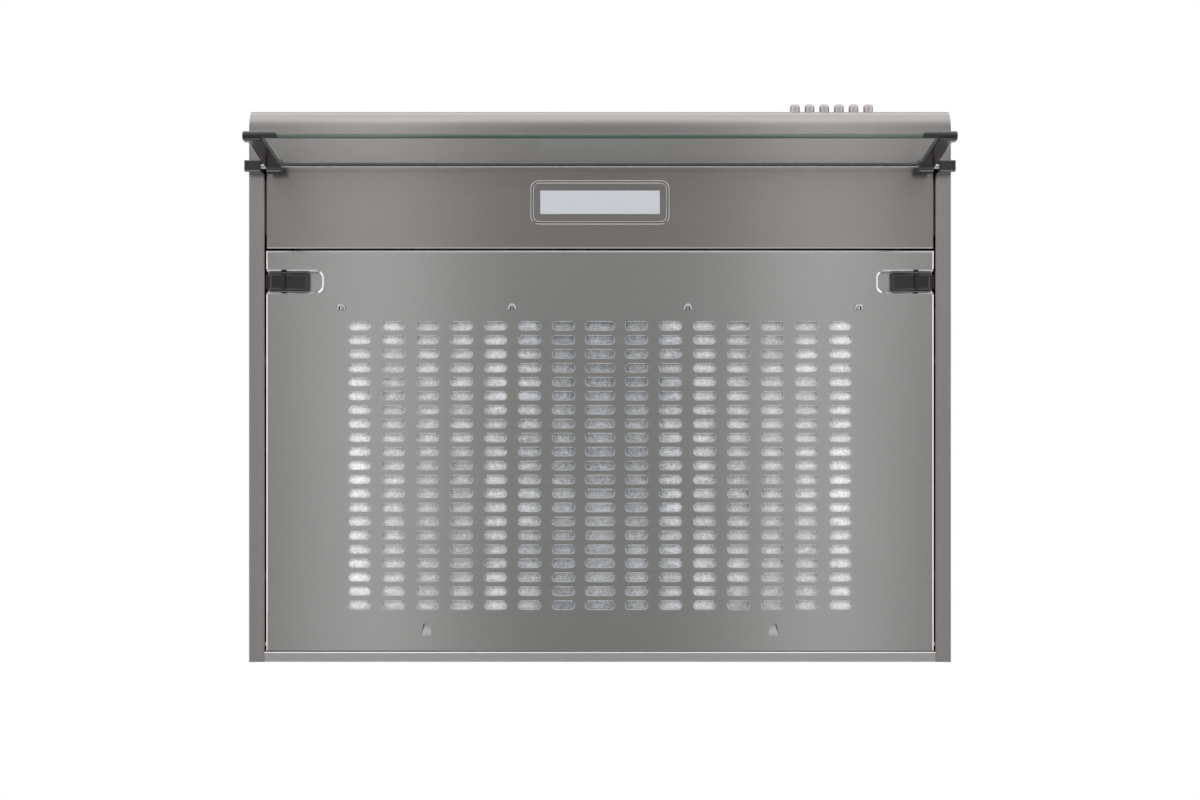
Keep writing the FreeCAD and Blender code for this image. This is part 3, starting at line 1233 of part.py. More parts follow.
def all_pieces():
    """Every piece by its name."""
    pieces = {
        "top_plate": top_plate(),
        "rear_panel": rear_panel(),
        "front_fascia": front_fascia(),
        "lamp_panel": lamp_panel(),
        "lamp_bezel": lamp_bezel(),
        "lamp_lens": lamp_lens(),
        "lamp_tray": lamp_tray(),
        "led_board": led_board(),
        "led_chips": led_chips(),
        "switch_block": switch_block(),
        "switch_bracket": switch_bracket(),
        "visor_glass": visor_glass(),
        "grille_panel": grille_panel(),
        "filter_fleece": filter_fleece(),
        "blower_scroll": blower_scroll(),
        "impeller": impeller(),
        "motor_shaft": motor_shaft(),
        "motor_body": motor_body(),
        "motor_bracket": motor_bracket(),
        "duct_collar": duct_collar(),
        "flap_spindle": flap_spindle(),
        "flap_front": flap(-1),
        "flap_rear": flap(1),
        "cable_gland": cable_gland(),
        "junction_box": junction_box(),
        "junction_box_lid": junction_box_lid(),
        "capacitor": capacitor(),
    }
    for number, x in enumerate(button_places(), start=1):
        pieces["button_" + str(number)] = button(x)
    handed = {
        "side_panel": side_panel(),
        "visor_bracket": visor_bracket(),
        "visor_pin": visor_pin(),
        "visor_arm": visor_arm(),
        "visor_clip": visor_clip(),
        "grille_pin": grille_pin(),
        "latch": latch(),
        "latch_keeper": latch_keeper(),
        "filter_wire": filter_wire(),
    }
    for name, shape in handed.items():
        pieces[name + "_right"] = shape
        pieces[name + "_left"] = mirrored(shape)
    return pieces


os.makedirs("parts", exist_ok=True)
for node, piece in all_pieces().items():
    piece.exportStep("parts/" + node + ".step")
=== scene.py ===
# %% [markdown]
# # A range hood seen from below
# The frame is a flat hood of folded stainless sheet with a slotted, hinged grille, a lamp, six push
# buttons and a hanging glass visor. This lesson dresses that frame: where a solid is plain, a finer piece
# takes its place, and every surface gets a finish named for the material it is made of.

# %% Loading the frame
import math
import random

import bmesh
import bpy
from mathutils import Matrix, Vector


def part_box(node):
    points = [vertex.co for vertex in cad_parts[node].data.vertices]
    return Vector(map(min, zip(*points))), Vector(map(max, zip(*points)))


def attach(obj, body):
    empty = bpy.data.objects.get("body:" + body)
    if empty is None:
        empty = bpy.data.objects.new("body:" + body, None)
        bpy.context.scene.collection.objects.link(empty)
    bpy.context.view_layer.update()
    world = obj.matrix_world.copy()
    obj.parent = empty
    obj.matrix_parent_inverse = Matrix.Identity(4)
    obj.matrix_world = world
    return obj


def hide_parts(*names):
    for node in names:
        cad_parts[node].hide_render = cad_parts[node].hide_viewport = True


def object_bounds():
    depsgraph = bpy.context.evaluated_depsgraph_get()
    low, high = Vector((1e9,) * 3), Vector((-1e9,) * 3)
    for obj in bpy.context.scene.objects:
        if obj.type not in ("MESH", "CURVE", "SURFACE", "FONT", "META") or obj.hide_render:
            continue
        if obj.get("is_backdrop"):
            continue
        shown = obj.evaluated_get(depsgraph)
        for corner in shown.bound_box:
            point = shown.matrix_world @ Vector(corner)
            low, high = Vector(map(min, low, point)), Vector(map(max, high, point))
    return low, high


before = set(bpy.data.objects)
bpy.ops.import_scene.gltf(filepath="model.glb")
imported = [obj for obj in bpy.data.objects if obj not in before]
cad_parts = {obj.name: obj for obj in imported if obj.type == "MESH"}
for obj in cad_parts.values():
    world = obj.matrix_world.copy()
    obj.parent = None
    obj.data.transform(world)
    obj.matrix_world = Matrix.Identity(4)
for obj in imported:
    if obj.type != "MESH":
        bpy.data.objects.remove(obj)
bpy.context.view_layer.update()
MM = 0.001
ALONG_X = Vector((1, 0, 0))
ALONG_Y = Vector((0, 1, 0))
ALONG_Z = Vector((0, 0, 1))

# %% [markdown]
# ## The camera
# The photograph looks straight up at the underside, with the front edge at the top of the picture. A
# 50 mm lens on a 36 mm sensor frames 1.02 m at 1.42 m, which gives the 1.17 pixels per millimetre that
# the underside has.

# %% Camera under the hood
UNDERSIDE_Z = -130 * MM
CAMERA_DISTANCE = 1424 * MM
PICTURE_MIDDLE_Y = -63.9 * MM

camera_data = bpy.data.cameras.new("camera")
camera_data.lens = 50
camera_data.sensor_width = 36
camera = bpy.data.objects.new("camera", camera_data)
camera.location = (0, PICTURE_MIDDLE_Y, UNDERSIDE_Z - CAMERA_DISTANCE)
camera.rotation_euler = (math.pi, 0, 0)
bpy.context.scene.collection.objects.link(camera)
bpy.context.scene.camera = camera
print("camera", [round(v, 3) for v in camera.location])

# %% [markdown]
# ## Light
# A real hood is photographed between large soft lamps. What the flat underside mirrors is the floor near
# the camera, so the floor's tone sets the metal's tone. Two long lamps beside the camera give the two
# lighter bands, and lamps level with the hood, in front and behind, draw the bright lines on every
# rounded edge.

# %% Soft lamps
def lamp(name, place, turn, size, radiance):
    """A soft rectangular lamp, turned by degrees from facing down. Radiance 1 is white paper's."""
    data = bpy.data.lights.new(name, "AREA")
    data.shape = "RECTANGLE"
    data.size, data.size_y = size
    data.energy = radiance * math.pi * size[0] * size[1]
    thing = bpy.data.objects.new(name, data)
    thing.location = place
    thing.rotation_euler = [math.radians(angle) for angle in turn]
    thing.visible_camera = False
    bpy.context.scene.collection.objects.link(thing)


lamp("band_left", (-0.515, -0.06, -2.45), (180, 0, 0), (0.26, 4.4), 1.6)
lamp("band_right", (0.515, -0.06, -2.45), (180, 0, 0), (0.26, 4.4), 1.6)
lamp("side_left", (-2.4, -0.1, -1.1), (110, 0, -90), (4.0, 2.3), 2.0)
lamp("side_right", (2.4, -0.1, -1.1), (110, 0, 90), (4.0, 2.3), 2.0)
lamp("front", (0.0, -1.6, -1.1), (90, 0, 0), (5.0, 2.9), 2.5)
lamp("rear", (0.0, 2.4, -0.75), (95, 0, 180), (3.4, 1.9), 2.6)
lamp("above", (0.0, -0.6, 2.4), (0, 0, 0), (2.4, 2.4), 1.3)
print("lamps", len(bpy.data.lights))

# %% [markdown]
# ## Colour and nodes
# Colours are picked as hex values from a screen, which are sRGB, while the shader counts in linear light.
# One function turns one into the other. Another adds a node, sets it and links it in one call, so that a
# material reads as a short list.

# %% Colour and node helpers
def linear(hex_colour):
    """An sRGB hex colour as linear red, green, blue and alpha."""
    values = []
    for start in (1, 3, 5):
        share = int(hex_colour[start:start + 2], 16) / 255
        values.append(share / 12.92 if share <= 0.04045 else ((share + 0.055) / 1.055) ** 2.4)
    return (*values, 1.0)


def add(tree, kind, settings=None, inputs=None):
    """Adds a node. An input that is given a socket is linked, and any other value is set."""
    made = tree.nodes.new(kind)
    for name, value in (settings or {}).items():
        setattr(made, name, value)
    for name, value in (inputs or {}).items():
        if isinstance(value, bpy.types.NodeSocket):
            tree.links.new(value, made.inputs[name])
        else:
            made.inputs[name].default_value = value
    return made


def start_finish(name):
    """A new material with an empty tree, and its object coordinates in metres."""
    material = bpy.data.materials.new(name)
    material.use_nodes = True
    material.node_tree.nodes.clear()
    coords = add(material.node_tree, "ShaderNodeTexCoord")
    return material, material.node_tree, coords.outputs["Object"]


def end_finish(tree, shader):
    """Links a shader to the material's output."""
    add(tree, "ShaderNodeOutputMaterial", inputs={"Surface": shader.outputs["BSDF"]})


def two_tones(tree, factor, low, high):
    """A colour between two hex colours, by a factor from 0 to 1."""
    mix = add(tree, "ShaderNodeMix", {"data_type": "RGBA"}, {"Factor": factor})
    mix.inputs[6].default_value = linear(low)
    mix.inputs[7].default_value = linear(high)
    return mix.outputs[2]


def between(tree, value, low, high):
    """A number between two values, by a factor from 0 to 1."""
    settings = {"clamp": True}
    inputs = {"Value": value, "To Min": low, "To Max": high}
    return add(tree, "ShaderNodeMapRange", settings, inputs).outputs["Result"]


# %% [markdown]
# ## The studio
# The photograph's background is white. It is the world's colour for rays that the camera sends, also by
# way of metal and glass, while the softer level of the world lights the object. The floor is a plain
# pale plane well below the camera, because the hood hangs on a wall.

# %% World and floor
FLOOR_Z = -2.6
FLOOR_HALF = 9.0

world = bpy.data.worlds.new("studio")
bpy.context.scene.world = world
world.use_nodes = True
sky = world.node_tree
sky.nodes.clear()
path = add(sky, "ShaderNodeLightPath")
seen = add(sky, "ShaderNodeMath", {"operation": "ADD", "use_clamp": True}, {
    0: path.outputs["Is Camera Ray"], 1: path.outputs["Is Glossy Ray"]})
seen = add(sky, "ShaderNodeMath", {"operation": "ADD", "use_clamp": True}, {
    0: seen.outputs[0], 1: path.outputs["Is Transmission Ray"]})
soft = add(sky, "ShaderNodeBackground", inputs={"Color": linear("#FFFFFF"), "Strength": 0.36})
white = add(sky, "ShaderNodeBackground", inputs={"Color": linear("#FFFFFF"), "Strength": 1.0})
mixed = add(sky, "ShaderNodeMixShader", inputs={
    0: seen.outputs[0], 1: soft.outputs[0], 2: white.outputs[0]})
add(sky, "ShaderNodeOutputWorld", inputs={"Surface": mixed.outputs[0]})

paper, tree, coords = start_finish("matt pale studio floor")
end_finish(tree, add(tree, "ShaderNodeBsdfPrincipled", inputs={
    "Base Color": linear("#BDBCBA"), "Roughness": 0.9, "Specular IOR Level": 0.1}))
bm = bmesh.new()
below = Matrix.Translation((0, 0, FLOOR_Z))
bmesh.ops.create_grid(bm, x_segments=1, y_segments=1, size=FLOOR_HALF, matrix=below)
floor_mesh = bpy.data.meshes.new("floor")
bm.to_mesh(floor_mesh)
bm.free()
floor_mesh.materials.append(paper)
floor = bpy.data.objects.new("floor", floor_mesh)
bpy.context.scene.collection.objects.link(floor)
floor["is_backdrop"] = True
print("floor at", FLOOR_Z)

# %% [markdown]
# ## Brushed stainless sheet
# The housing is 304 stainless, brushed with an abrasive belt. That leaves long fine lines, which blur
# what the metal mirrors across them and leave it sharper along them. The shader's anisotropic share does
# just that: it spreads a highlight along the tangent, which here lies across the lines. The real lines are
# about 0.1 mm apart, too fine for the picture, so they are drawn 0.9 mm apart and faint. Slow changes of
# tone a hand's width across keep large flats from looking painted. Each sheet comes from its own coil, so
# each has a slightly different grey. The rear wall has a duller mill finish, and its grey is set lighter
# as a painted highlight for the light that its lower strip catches. A brighter stainless is painted on as
# a highlight where folds catch the lamps: at the ends of the latch pockets, along the grille's side folds
# and along the rear wall's lower one.

# %% Brushed stainless
GRILLE_TONES = ("#767676", "#7F7F7F")
LAMP_COVER_TONES = ("#6A6867", "#737271")
SIDE_TONES = ("#757272", "#7D7B7B")
FRONT_TONES = ("#716F6E", "#7A7877")
# The rear wall's grey is lighter than the other sheets': a painted highlight for the light its lower strip
# catches.
PAINTED_LIGHTER_REAR_TONES = ("#828282", "#8B8B8B")
# a brighter stainless, painted on as a highlight where folds catch the lamps
FOLD_HIGHLIGHT_TONES = ("#A4A4A3", "#B0B0AF")
LINE_PITCH = 0.9 * MM
LINE_LENGTH = 90 * MM
STAIN_SIZE = 120 * MM


def brushed_stainless(name, lines_along, tones, roughness=(0.23, 0.29)):
    """Stainless sheet whose brushed lines run along one axis, between two tones."""
    material, tree, coords = start_finish(name)
    stretch = [1 / LINE_PITCH] * 3
    stretch[lines_along] = 1 / LINE_LENGTH
    lines_at = add(tree, "ShaderNodeMapping", inputs={"Vector": coords, "Scale": stretch})
    lines = add(tree, "ShaderNodeTexNoise", inputs={
        "Vector": lines_at.outputs[0], "Scale": 1.0, "Detail": 3.0, "Roughness": 0.65})
    stains = add(tree, "ShaderNodeTexNoise", inputs={
        "Vector": coords, "Scale": 1 / STAIN_SIZE, "Detail": 2.0})
    tone = add(tree, "ShaderNodeMath", {"operation": "MULTIPLY_ADD"}, {
        0: lines.outputs["Fac"], 1: 0.6, 2: 0.0})
    tone = add(tree, "ShaderNodeMath", {"operation": "MULTIPLY_ADD"}, {
        0: stains.outputs["Fac"], 1: 0.4, 2: tone.outputs[0]})
    bump = add(tree, "ShaderNodeBump", inputs={
        "Height": lines.outputs["Fac"], "Strength": 0.10, "Distance": 0.02 * MM})
    spread = [0.0, 0.0, 0.0]
    spread[1 - lines_along] = 1.0
    across = add(tree, "ShaderNodeVectorTransform", {"convert_from": "OBJECT", "convert_to": "WORLD"}, {
        "Vector": spread})
    end_finish(tree, add(tree, "ShaderNodeBsdfPrincipled", inputs={
        "Base Color": two_tones(tree, tone.outputs[0], *tones), "Metallic": 1.0, "Anisotropic": 0.6,
        "Roughness": between(tree, lines.outputs["Fac"], *roughness), "Normal": bump.outputs[0],
        "Tangent": across.outputs[0]}))
    return material


stainless_grille = brushed_stainless("stainless of the grille, brushed side to side", 0, GRILLE_TONES)
painted_highlight_rim = brushed_stainless("stainless painted bright as a fold highlight", 1, FOLD_HIGHLIGHT_TONES, (0.2, 0.24))
stainless_lamp = brushed_stainless("stainless of the lamp cover, brushed side to side", 0, LAMP_COVER_TONES)
stainless_front = brushed_stainless("stainless of the front, brushed side to side", 0, FRONT_TONES)
painted_lighter_rear_stainless = brushed_stainless("stainless of the rear wall, mill finish, painted lighter", 0, PAINTED_LIGHTER_REAR_TONES, (0.4, 0.46))
stainless_side = brushed_stainless("stainless of the sides, brushed front to back", 1, SIDE_TONES)
print("stainless ready")

# %% [markdown]
# ## Galvanised sheet
# The hidden sheets are hot-dip galvanised steel. Zinc freezes in flat crystals about 8 mm across, each of
# which mirrors a little differently, so the sheet looks like frost on a window.

# %% Galvanised sheet
SPANGLE_SIZE = 8 * MM

galvanised, tree, coords = start_finish("hot-dip galvanised steel")
bent = add(tree, "ShaderNodeTexNoise", inputs={"Vector": coords, "Scale": 1 / (5 * MM), "Detail": 2.0})
wavy = add(tree, "ShaderNodeVectorMath", {"operation": "MULTIPLY_ADD"}, {
    0: bent.outputs["Color"], 1: (2 * MM, 2 * MM, 2 * MM), 2: coords})
spangle = add(tree, "ShaderNodeTexVoronoi", inputs={"Vector": wavy.outputs[0], "Scale": 1 / SPANGLE_SIZE})
grey = add(tree, "ShaderNodeSeparateColor", inputs={0: spangle.outputs["Color"]})
end_finish(tree, add(tree, "ShaderNodeBsdfPrincipled", inputs={
    "Base Color": two_tones(tree, grey.outputs[0], "#9A9C9F", "#B3B5B8"), "Metallic": 1.0,
    "Roughness": between(tree, grey.outputs[1], 0.32, 0.52)}))
print("galvanised ready")

# %% [markdown]
# ## Moulded plastics
# The arms, pivot blocks and collar are glass-filled nylon: nearly black, with a satin skin off a
# spark-eroded mould, whose grain is about 0.4 mm. The sliders and the glass clips are acetal, which feels
# waxy and mirrors less. The same recipe in grey makes the junction box and the blower's wheel, which are
# polypropylene.

# %% Moulded plastics
def moulded(name, dark, light, grain=0.4 * MM, roughness=(0.28, 0.42), strength=0.12, gloss=0.5):
    """Plastic with a fine mould grain."""
    material, tree, coords = start_finish(name)
    skin = add(tree, "ShaderNodeTexNoise", inputs={"Vector": coords, "Scale": 1 / grain, "Detail": 2.0})
    cloud = add(tree, "ShaderNodeTexNoise", inputs={"Vector": coords, "Scale": 1 / (30 * MM), "Detail": 1.0})
    bump = add(tree, "ShaderNodeBump", inputs={
        "Height": skin.outputs["Fac"], "Strength": strength, "Distance": 0.05 * MM})
    end_finish(tree, add(tree, "ShaderNodeBsdfPrincipled", inputs={
        "Base Color": two_tones(tree, cloud.outputs["Fac"], dark, light),
        "Roughness": between(tree, skin.outputs["Fac"], *roughness),
        "IOR": 1.53, "Specular IOR Level": gloss, "Normal": bump.outputs[0]}))
    return material


black_nylon = moulded("black glass-filled nylon", "#0D0B0C", "#121011", roughness=(0.14, 0.2), gloss=0.4)
black_acetal = moulded("black acetal", "#0D0B0C", "#121011", roughness=(0.14, 0.2), gloss=0.27)
grey_polypropylene = moulded("grey polypropylene", "#7E8082", "#8A8C8E")
black_enamel = moulded("black baked enamel", "#262627", "#303031", 1.5 * MM, (0.18, 0.28), 0.2)
white_board = moulded("white solder mask", "#E4E6E2", "#EEEFEC", 0.6 * MM, (0.2, 0.3), 0.05)
phosphor = moulded("phosphor of a white diode", "#D9C25A", "#E6D27A", 0.3 * MM, (0.3, 0.4), 0.1)
print("plastics ready")

# %% [markdown]
# ## Drawn and turned steel
# The pins and wires are bright steel, drawn through a die or turned, so they mirror more sharply than
# sheet. The button caps are plastic with a vacuum-deposited satin metal skin.

# %% Bright steels
def bright_steel(name, tone_low, tone_high, roughness, pitch):
    """Smooth metal with faint drawing lines."""
    material, tree, coords = start_finish(name)
    marks = add(tree, "ShaderNodeTexNoise", inputs={"Vector": coords, "Scale": 1 / pitch, "Detail": 3.0})
    end_finish(tree, add(tree, "ShaderNodeBsdfPrincipled", inputs={
        "Base Color": two_tones(tree, marks.outputs["Fac"], tone_low, tone_high), "Metallic": 1.0,
        "Roughness": between(tree, marks.outputs["Fac"], *roughness)}))
    return material


drawn_wire = bright_steel("bright drawn steel wire", "#B9B8B6", "#CBCAC8", (0.14, 0.24), 1 * MM)
turned_steel = bright_steel("turned steel", "#7E7D7B", "#8C8B89", (0.25, 0.35), 0.6 * MM)
satin_cap = bright_steel("satin metallised plastic", "#827E7E", "#8F8B8B", (0.4, 0.5), 0.8 * MM)
print("steels ready")

# %% [markdown]
# ## Glass and lens
# Float glass is clear through its face, but its iron makes a cut edge look green, because light runs a
# long way inside before it leaves there. The edge faces therefore have a finish of their own. The clear
# faces are thin see-through skins that only add a breath of grey-green gloss. A refracting pane would
# keep the lamps from the metal behind it, as refracted lamp light isn't traced there. The lamp's
# lens is opal polycarbonate, which scatters what falls on it and looks pale blue-grey when it is off.

# %% Glass and lens
float_glass, tree, coords = start_finish("clear float glass")
smear = add(tree, "ShaderNodeTexNoise", inputs={"Vector": coords, "Scale": 1 / (60 * MM), "Detail": 2.0})
end_finish(tree, add(tree, "ShaderNodeBsdfPrincipled", inputs={
    "Base Color": linear("#5E6A67"), "IOR": 1.5, "Alpha": 0.07,
    "Roughness": between(tree, smear.outputs["Fac"], 0.02, 0.06)}))

glass_edge, tree, coords = start_finish("polished edge of float glass")
along = add(tree, "ShaderNodeMapping", inputs={"Vector": coords, "Scale": (1 / (70 * MM), 1, 1)})
depth = add(tree, "ShaderNodeTexNoise", inputs={"Vector": along.outputs[0], "Scale": 1.0, "Detail": 2.0})
end_finish(tree, add(tree, "ShaderNodeBsdfPrincipled", inputs={
    "Base Color": two_tones(tree, depth.outputs["Fac"], "#1E2D28", "#31433D"), "Roughness": 0.12,
    "IOR": 1.5}))


def clouded(name, dark, light, size, detail, surface):
    """A smooth finish whose tone drifts between two colours over a real size."""
    material, tree, coords = start_finish(name)
    cloud = add(tree, "ShaderNodeTexNoise", inputs={"Vector": coords, "Scale": 1 / size, "Detail": detail})
    tone = two_tones(tree, cloud.outputs["Fac"], dark, light)
    end_finish(tree, add(tree, "ShaderNodeBsdfPrincipled", inputs={"Base Color": tone, **surface}))
    return material


# Painted near black: a painted shade on the arrises.
arris_painted_dark = clouded("ground arris of float glass, painted dark as shade", "#0F1816", "#1A2623", 0.8 * MM, 2.0, {
    "Roughness": 0.3, "IOR": 1.5})
# Painted a pale grey: a painted highlight, the light line along a polished arris.
arris_painted_pale = clouded("polished arris of float glass, painted pale as a highlight", "#7C8684", "#949D9B", 2 * MM, 1.0, {
    "Roughness": 0.15, "IOR": 1.5, "Alpha": 0.3})
opal_lens = clouded("opal polycarbonate", "#9A9DA2", "#A0A3A8", 25 * MM, 2.0, {
    "Roughness": 0.35, "Subsurface Weight": 0.2, "Subsurface Scale": 2 * MM, "IOR": 1.58})
print("glass ready")

# %% [markdown]
# ## Filter fleece
# The grease filter is a mat of crimped polyester fibre. Its fibres are far thinner than a pixel, but they
# clump, so what shows through the slots is a mottle of white and silver-grey about 2 mm across, with
# finer specks in it. The middle is painted darker and greyer than the sides: a painted shade for the
# less light that reaches the mat there.

# %% Filter fleece
CLUMP_SIZE = 4 * MM
SPECK_SIZE = 1.1 * MM
DRIFT_SIZE = 55 * MM
# how far out from the middle the painted shade on the fleece fades away
FLEECE_SHADE_FADES_BY = 215 * MM

fleece_white, tree, coords = start_finish("white polyester filter fleece")
clumps = add(tree, "ShaderNodeTexNoise", inputs={"Vector": coords, "Scale": 1 / CLUMP_SIZE, "Detail": 3.0})
specks = add(tree, "ShaderNodeTexNoise", inputs={
    "Vector": coords, "Scale": 1 / SPECK_SIZE, "Detail": 2.0, "Roughness": 0.7})
drift = add(tree, "ShaderNodeTexNoise", inputs={"Vector": coords, "Scale": 1 / DRIFT_SIZE, "Detail": 1.0})
level = add(tree, "ShaderNodeMath", {"operation": "MULTIPLY_ADD"}, {
    0: clumps.outputs["Fac"], 1: 0.25, 2: 0.0})
level = add(tree, "ShaderNodeMath", {"operation": "MULTIPLY_ADD"}, {
    0: specks.outputs["Fac"], 1: 0.55, 2: level.outputs[0]})
level = add(tree, "ShaderNodeMath", {"operation": "MULTIPLY_ADD"}, {
    0: drift.outputs["Fac"], 1: 0.2, 2: level.outputs[0]})
mottle = add(tree, "ShaderNodeMapRange", inputs={
    "Value": level.outputs[0], "From Min": 0.38, "From Max": 0.61})
# The fleece is painted darker and greyer towards the middle: a painted shade, fading out towards the sides.
sides = add(tree, "ShaderNodeSeparateXYZ", inputs={0: coords})
sideways = add(tree, "ShaderNodeMath", {"operation": "ABSOLUTE"}, {0: sides.outputs["X"]})
shade_fade = add(tree, "ShaderNodeMapRange", {"interpolation_type": "SMOOTHSTEP"}, {
    "Value": sideways.outputs[0], "From Min": 0.02, "From Max": FLEECE_SHADE_FADES_BY})
unshaded_fleece = two_tones(tree, mottle.outputs[0], "#AEAFB1", "#E8E9EA")
painted_shade_fleece = two_tones(tree, mottle.outputs[0], "#74797D", "#C2C5C8")
shown = add(tree, "ShaderNodeMix", {"data_type": "RGBA"}, {"Factor": shade_fade.outputs[0], 6: painted_shade_fleece, 7: unshaded_fleece})
bump = add(tree, "ShaderNodeBump", inputs={
    "Height": level.outputs[0], "Strength": 0.7, "Distance": 1.2 * MM})
end_finish(tree, add(tree, "ShaderNodeBsdfPrincipled", inputs={
    "Base Color": shown.outputs[2], "Roughness": 0.75,
    "Sheen Weight": 0.3, "Normal": bump.outputs[0]}))
print("fleece ready")

# %% [markdown]
# ## Keeping a piece
# Every piece ends the same way: its mesh is shaded smooth but for its hard corners, it gets its finishes,
# rides on a body of the frame and hides the solid that it stands for. Where a large flat meets a narrow
# round, the edge between them counts as hard too, or else the smooth shading would bend the flat.

# %% Keeping a piece
SMOOTH_BELOW = math.radians(38)
FLAT_BELOW = math.radians(1)
WIDE_SHARE = 20


def is_smooth(edge):
    """Whether the shading runs on over an edge."""
    if len(edge.link_faces) != 2:
        return False
    bend = edge.calc_face_angle()
    small, large = sorted(face.calc_area() for face in edge.link_faces)
    level = [abs(face.normal.z) > 0.9999 for face in edge.link_faces]
    if bend > FLAT_BELOW and (large > WIDE_SHARE * small or level[0] != level[1]):
        return False
    return bend < SMOOTH_BELOW


def keep(name, bm, finishes, body, stands_for=()):
    """Turns a bmesh into a piece that rides on a body."""
    for face in bm.faces:
        face.smooth = True
    bm.normal_update()
    for edge in bm.edges:
        edge.smooth = is_smooth(edge)
    mesh = bpy.data.meshes.new(name)
    bm.to_mesh(mesh)
    bm.free()
    for finish in finishes:
        mesh.materials.append(finish)
    piece = bpy.data.objects.new(name, mesh)
    bpy.context.scene.collection.objects.link(piece)
    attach(piece, body)
    if stands_for:
        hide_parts(*stands_for)
    print(name, len(mesh.polygons), "faces")
    return piece


# %% [markdown]
# ## Softened edges
# No real edge is perfectly sharp: sheet is folded over a radius and plastic leaves the mould with one.
# That radius is what catches the light and draws a line round each piece. A frame node's mesh is loose
# triangles, so a copy is merged, its flat triangles are dissolved into whole faces, and only then can a
# bevel run round its hard edges.

# %% Softened copies
HARD_ABOVE = math.radians(38)
SAME_POINT = 0.01 * MM
SAME_PLANE = math.radians(0.5)


def merged_copy(node):
    """A node's mesh as a bmesh with its triangles joined into whole flat faces."""
    bm = bmesh.new()
    bm.from_mesh(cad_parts[node].data)
    bmesh.ops.remove_doubles(bm, verts=bm.verts, dist=SAME_POINT)
    bmesh.ops.dissolve_limit(bm, angle_limit=SAME_PLANE, verts=bm.verts, edges=bm.edges)
    return bm


def round_off(bm, geom, radius, steps=1, clamp=False, affect="EDGES"):
    """Bevels edges or corners and returns the new faces. Clamped, it stays within the room there is."""
    made = bmesh.ops.bevel(bm, geom=geom, offset=radius, offset_type="OFFSET", segments=steps,
                           profile=0.5, affect=affect, material=-1, clamp_overlap=clamp)
    return made["faces"]


def soften(bm, radius, steps=2, choose=lambda edge: True):
    """Rounds the hard edges that choose picks."""
    hard = []
    for edge in bm.edges:
        if len(edge.link_faces) == 2 and edge.calc_face_angle() > HARD_ABOVE and choose(edge):
            hard.append(edge)
    round_off(bm, hard, radius, steps, clamp=True)


def softened(node, name, radius, finish, body, steps=2):
    """A piece that stands for a node, with its hard edges rounded."""
    bm = merged_copy(node)
    soften(bm, radius, steps)
    return keep(name, bm, [finish], body, [node])


# %% [markdown]
# ## Side walls, rear wall and top
# These are plain folded sheets, so their nodes keep their shape and only get the radius of a fold along
# each edge. Where two sheets meet at a gap, the folded edge leans a little: it mirrors the lamp across
# from it, and that draws the thin light line beside each dark gap.

# %% Leaning edges
FOLD = 0.45 * MM
NEAR = 0.05 * MM
BEND_RADIUS = 1.6 * MM
FIRST_CUT = 0.3 * MM      # bevelled evenly first, then moved to the slope's own width and height
HEM_RISE = 3 * MM


def leaning_edge(bm, axis, place, wide, tall, overhang=0.0):
    """Slopes a square lower edge that runs along the outside of a gap, at one place on an axis."""
    low = [edge for edge in bm.edges if all(
        abs(vert.co[axis] - place) < NEAR and abs(vert.co.z - UNDERSIDE_Z) < NEAR for vert in edge.verts)]
    round_off(bm, low, FIRST_CUT)
    for vert in bm.verts:
        away = vert.co[axis] - place
        rise = vert.co.z - UNDERSIDE_Z
        if abs(rise) < NEAR and abs(abs(away) - FIRST_CUT) < NEAR:
            vert.co[axis] = place + math.copysign(wide, away)
        elif abs(away) < NEAR and abs(rise - FIRST_CUT) < NEAR:
            vert.co.z = UNDERSIDE_Z + tall
    for vert in bm.verts:
        above = NEAR < vert.co.z - UNDERSIDE_Z < HEM_RISE
        if overhang and above and abs(vert.co[axis] - place) < NEAR:
            vert.co[axis] += overhang


def lean_folds(bm, low, high, axes, wide, tall, outwards=0.0, ends=(1, -1)):
    """Turns the round folds of a tray's lower outer edges into slim slopes, which may stand out a bit."""
    for vert in bm.verts:
        rise = vert.co.z - UNDERSIDE_Z
        if not -NEAR < rise < BEND_RADIUS + NEAR:
            continue
        turn = math.acos(max(0.0, min(1.0, 1 - rise / BEND_RADIUS)))
        reach = BEND_RADIUS * (1 - math.sin(turn))
        share = turn / (math.pi / 2)
        on_fold = False
        for axis in axes:
            for way in ends:
                side = low[axis] if way > 0 else high[axis]
                if abs((vert.co[axis] - side) * way - reach) < 2 * NEAR:
                    vert.co[axis] = side + way * (wide * (1 - share) - outwards * share)
                    on_fold = True
        if on_fold:
            vert.co.z = UNDERSIDE_Z + tall * share


# %% Housing sheets
HEM_FROM_SIDE = 13.3 * MM
STRIP_FROM_REAR = 8 * MM
SIDE_SLOPE = (0.9 * MM, 0.65 * MM)
REAR_SLOPE = (0.2 * MM, 0.36 * MM, -0.7 * MM)
LAMP_SLOPE = (1.0 * MM, 0.75 * MM)
LAMP_FOLD = 0.3 * MM
CLEAR = 2 * MM

for name, side in (("left", -1), ("right", 1)):
    bm = merged_copy("side_panel_" + name)
    hem_x = side * (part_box("side_panel_right")[1].x - HEM_FROM_SIDE)
    leaning_edge(bm, 0, hem_x, *SIDE_SLOPE)
    soften(bm, FOLD, 2, lambda edge: all(abs(vert.co.x - hem_x) > CLEAR for vert in edge.verts))
    keep(name + "_wall", bm, [stainless_side], "hood", ["side_panel_" + name])

# The whole rear wall takes the lighter stainless, a painted highlight.
bm = merged_copy("rear_panel")
strip_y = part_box("rear_panel")[1].y - STRIP_FROM_REAR
leaning_edge(bm, 1, strip_y, *REAR_SLOPE)
soften(bm, FOLD, 2, lambda edge: all(vert.co.y > strip_y + CLEAR for vert in edge.verts))
bm.normal_update()
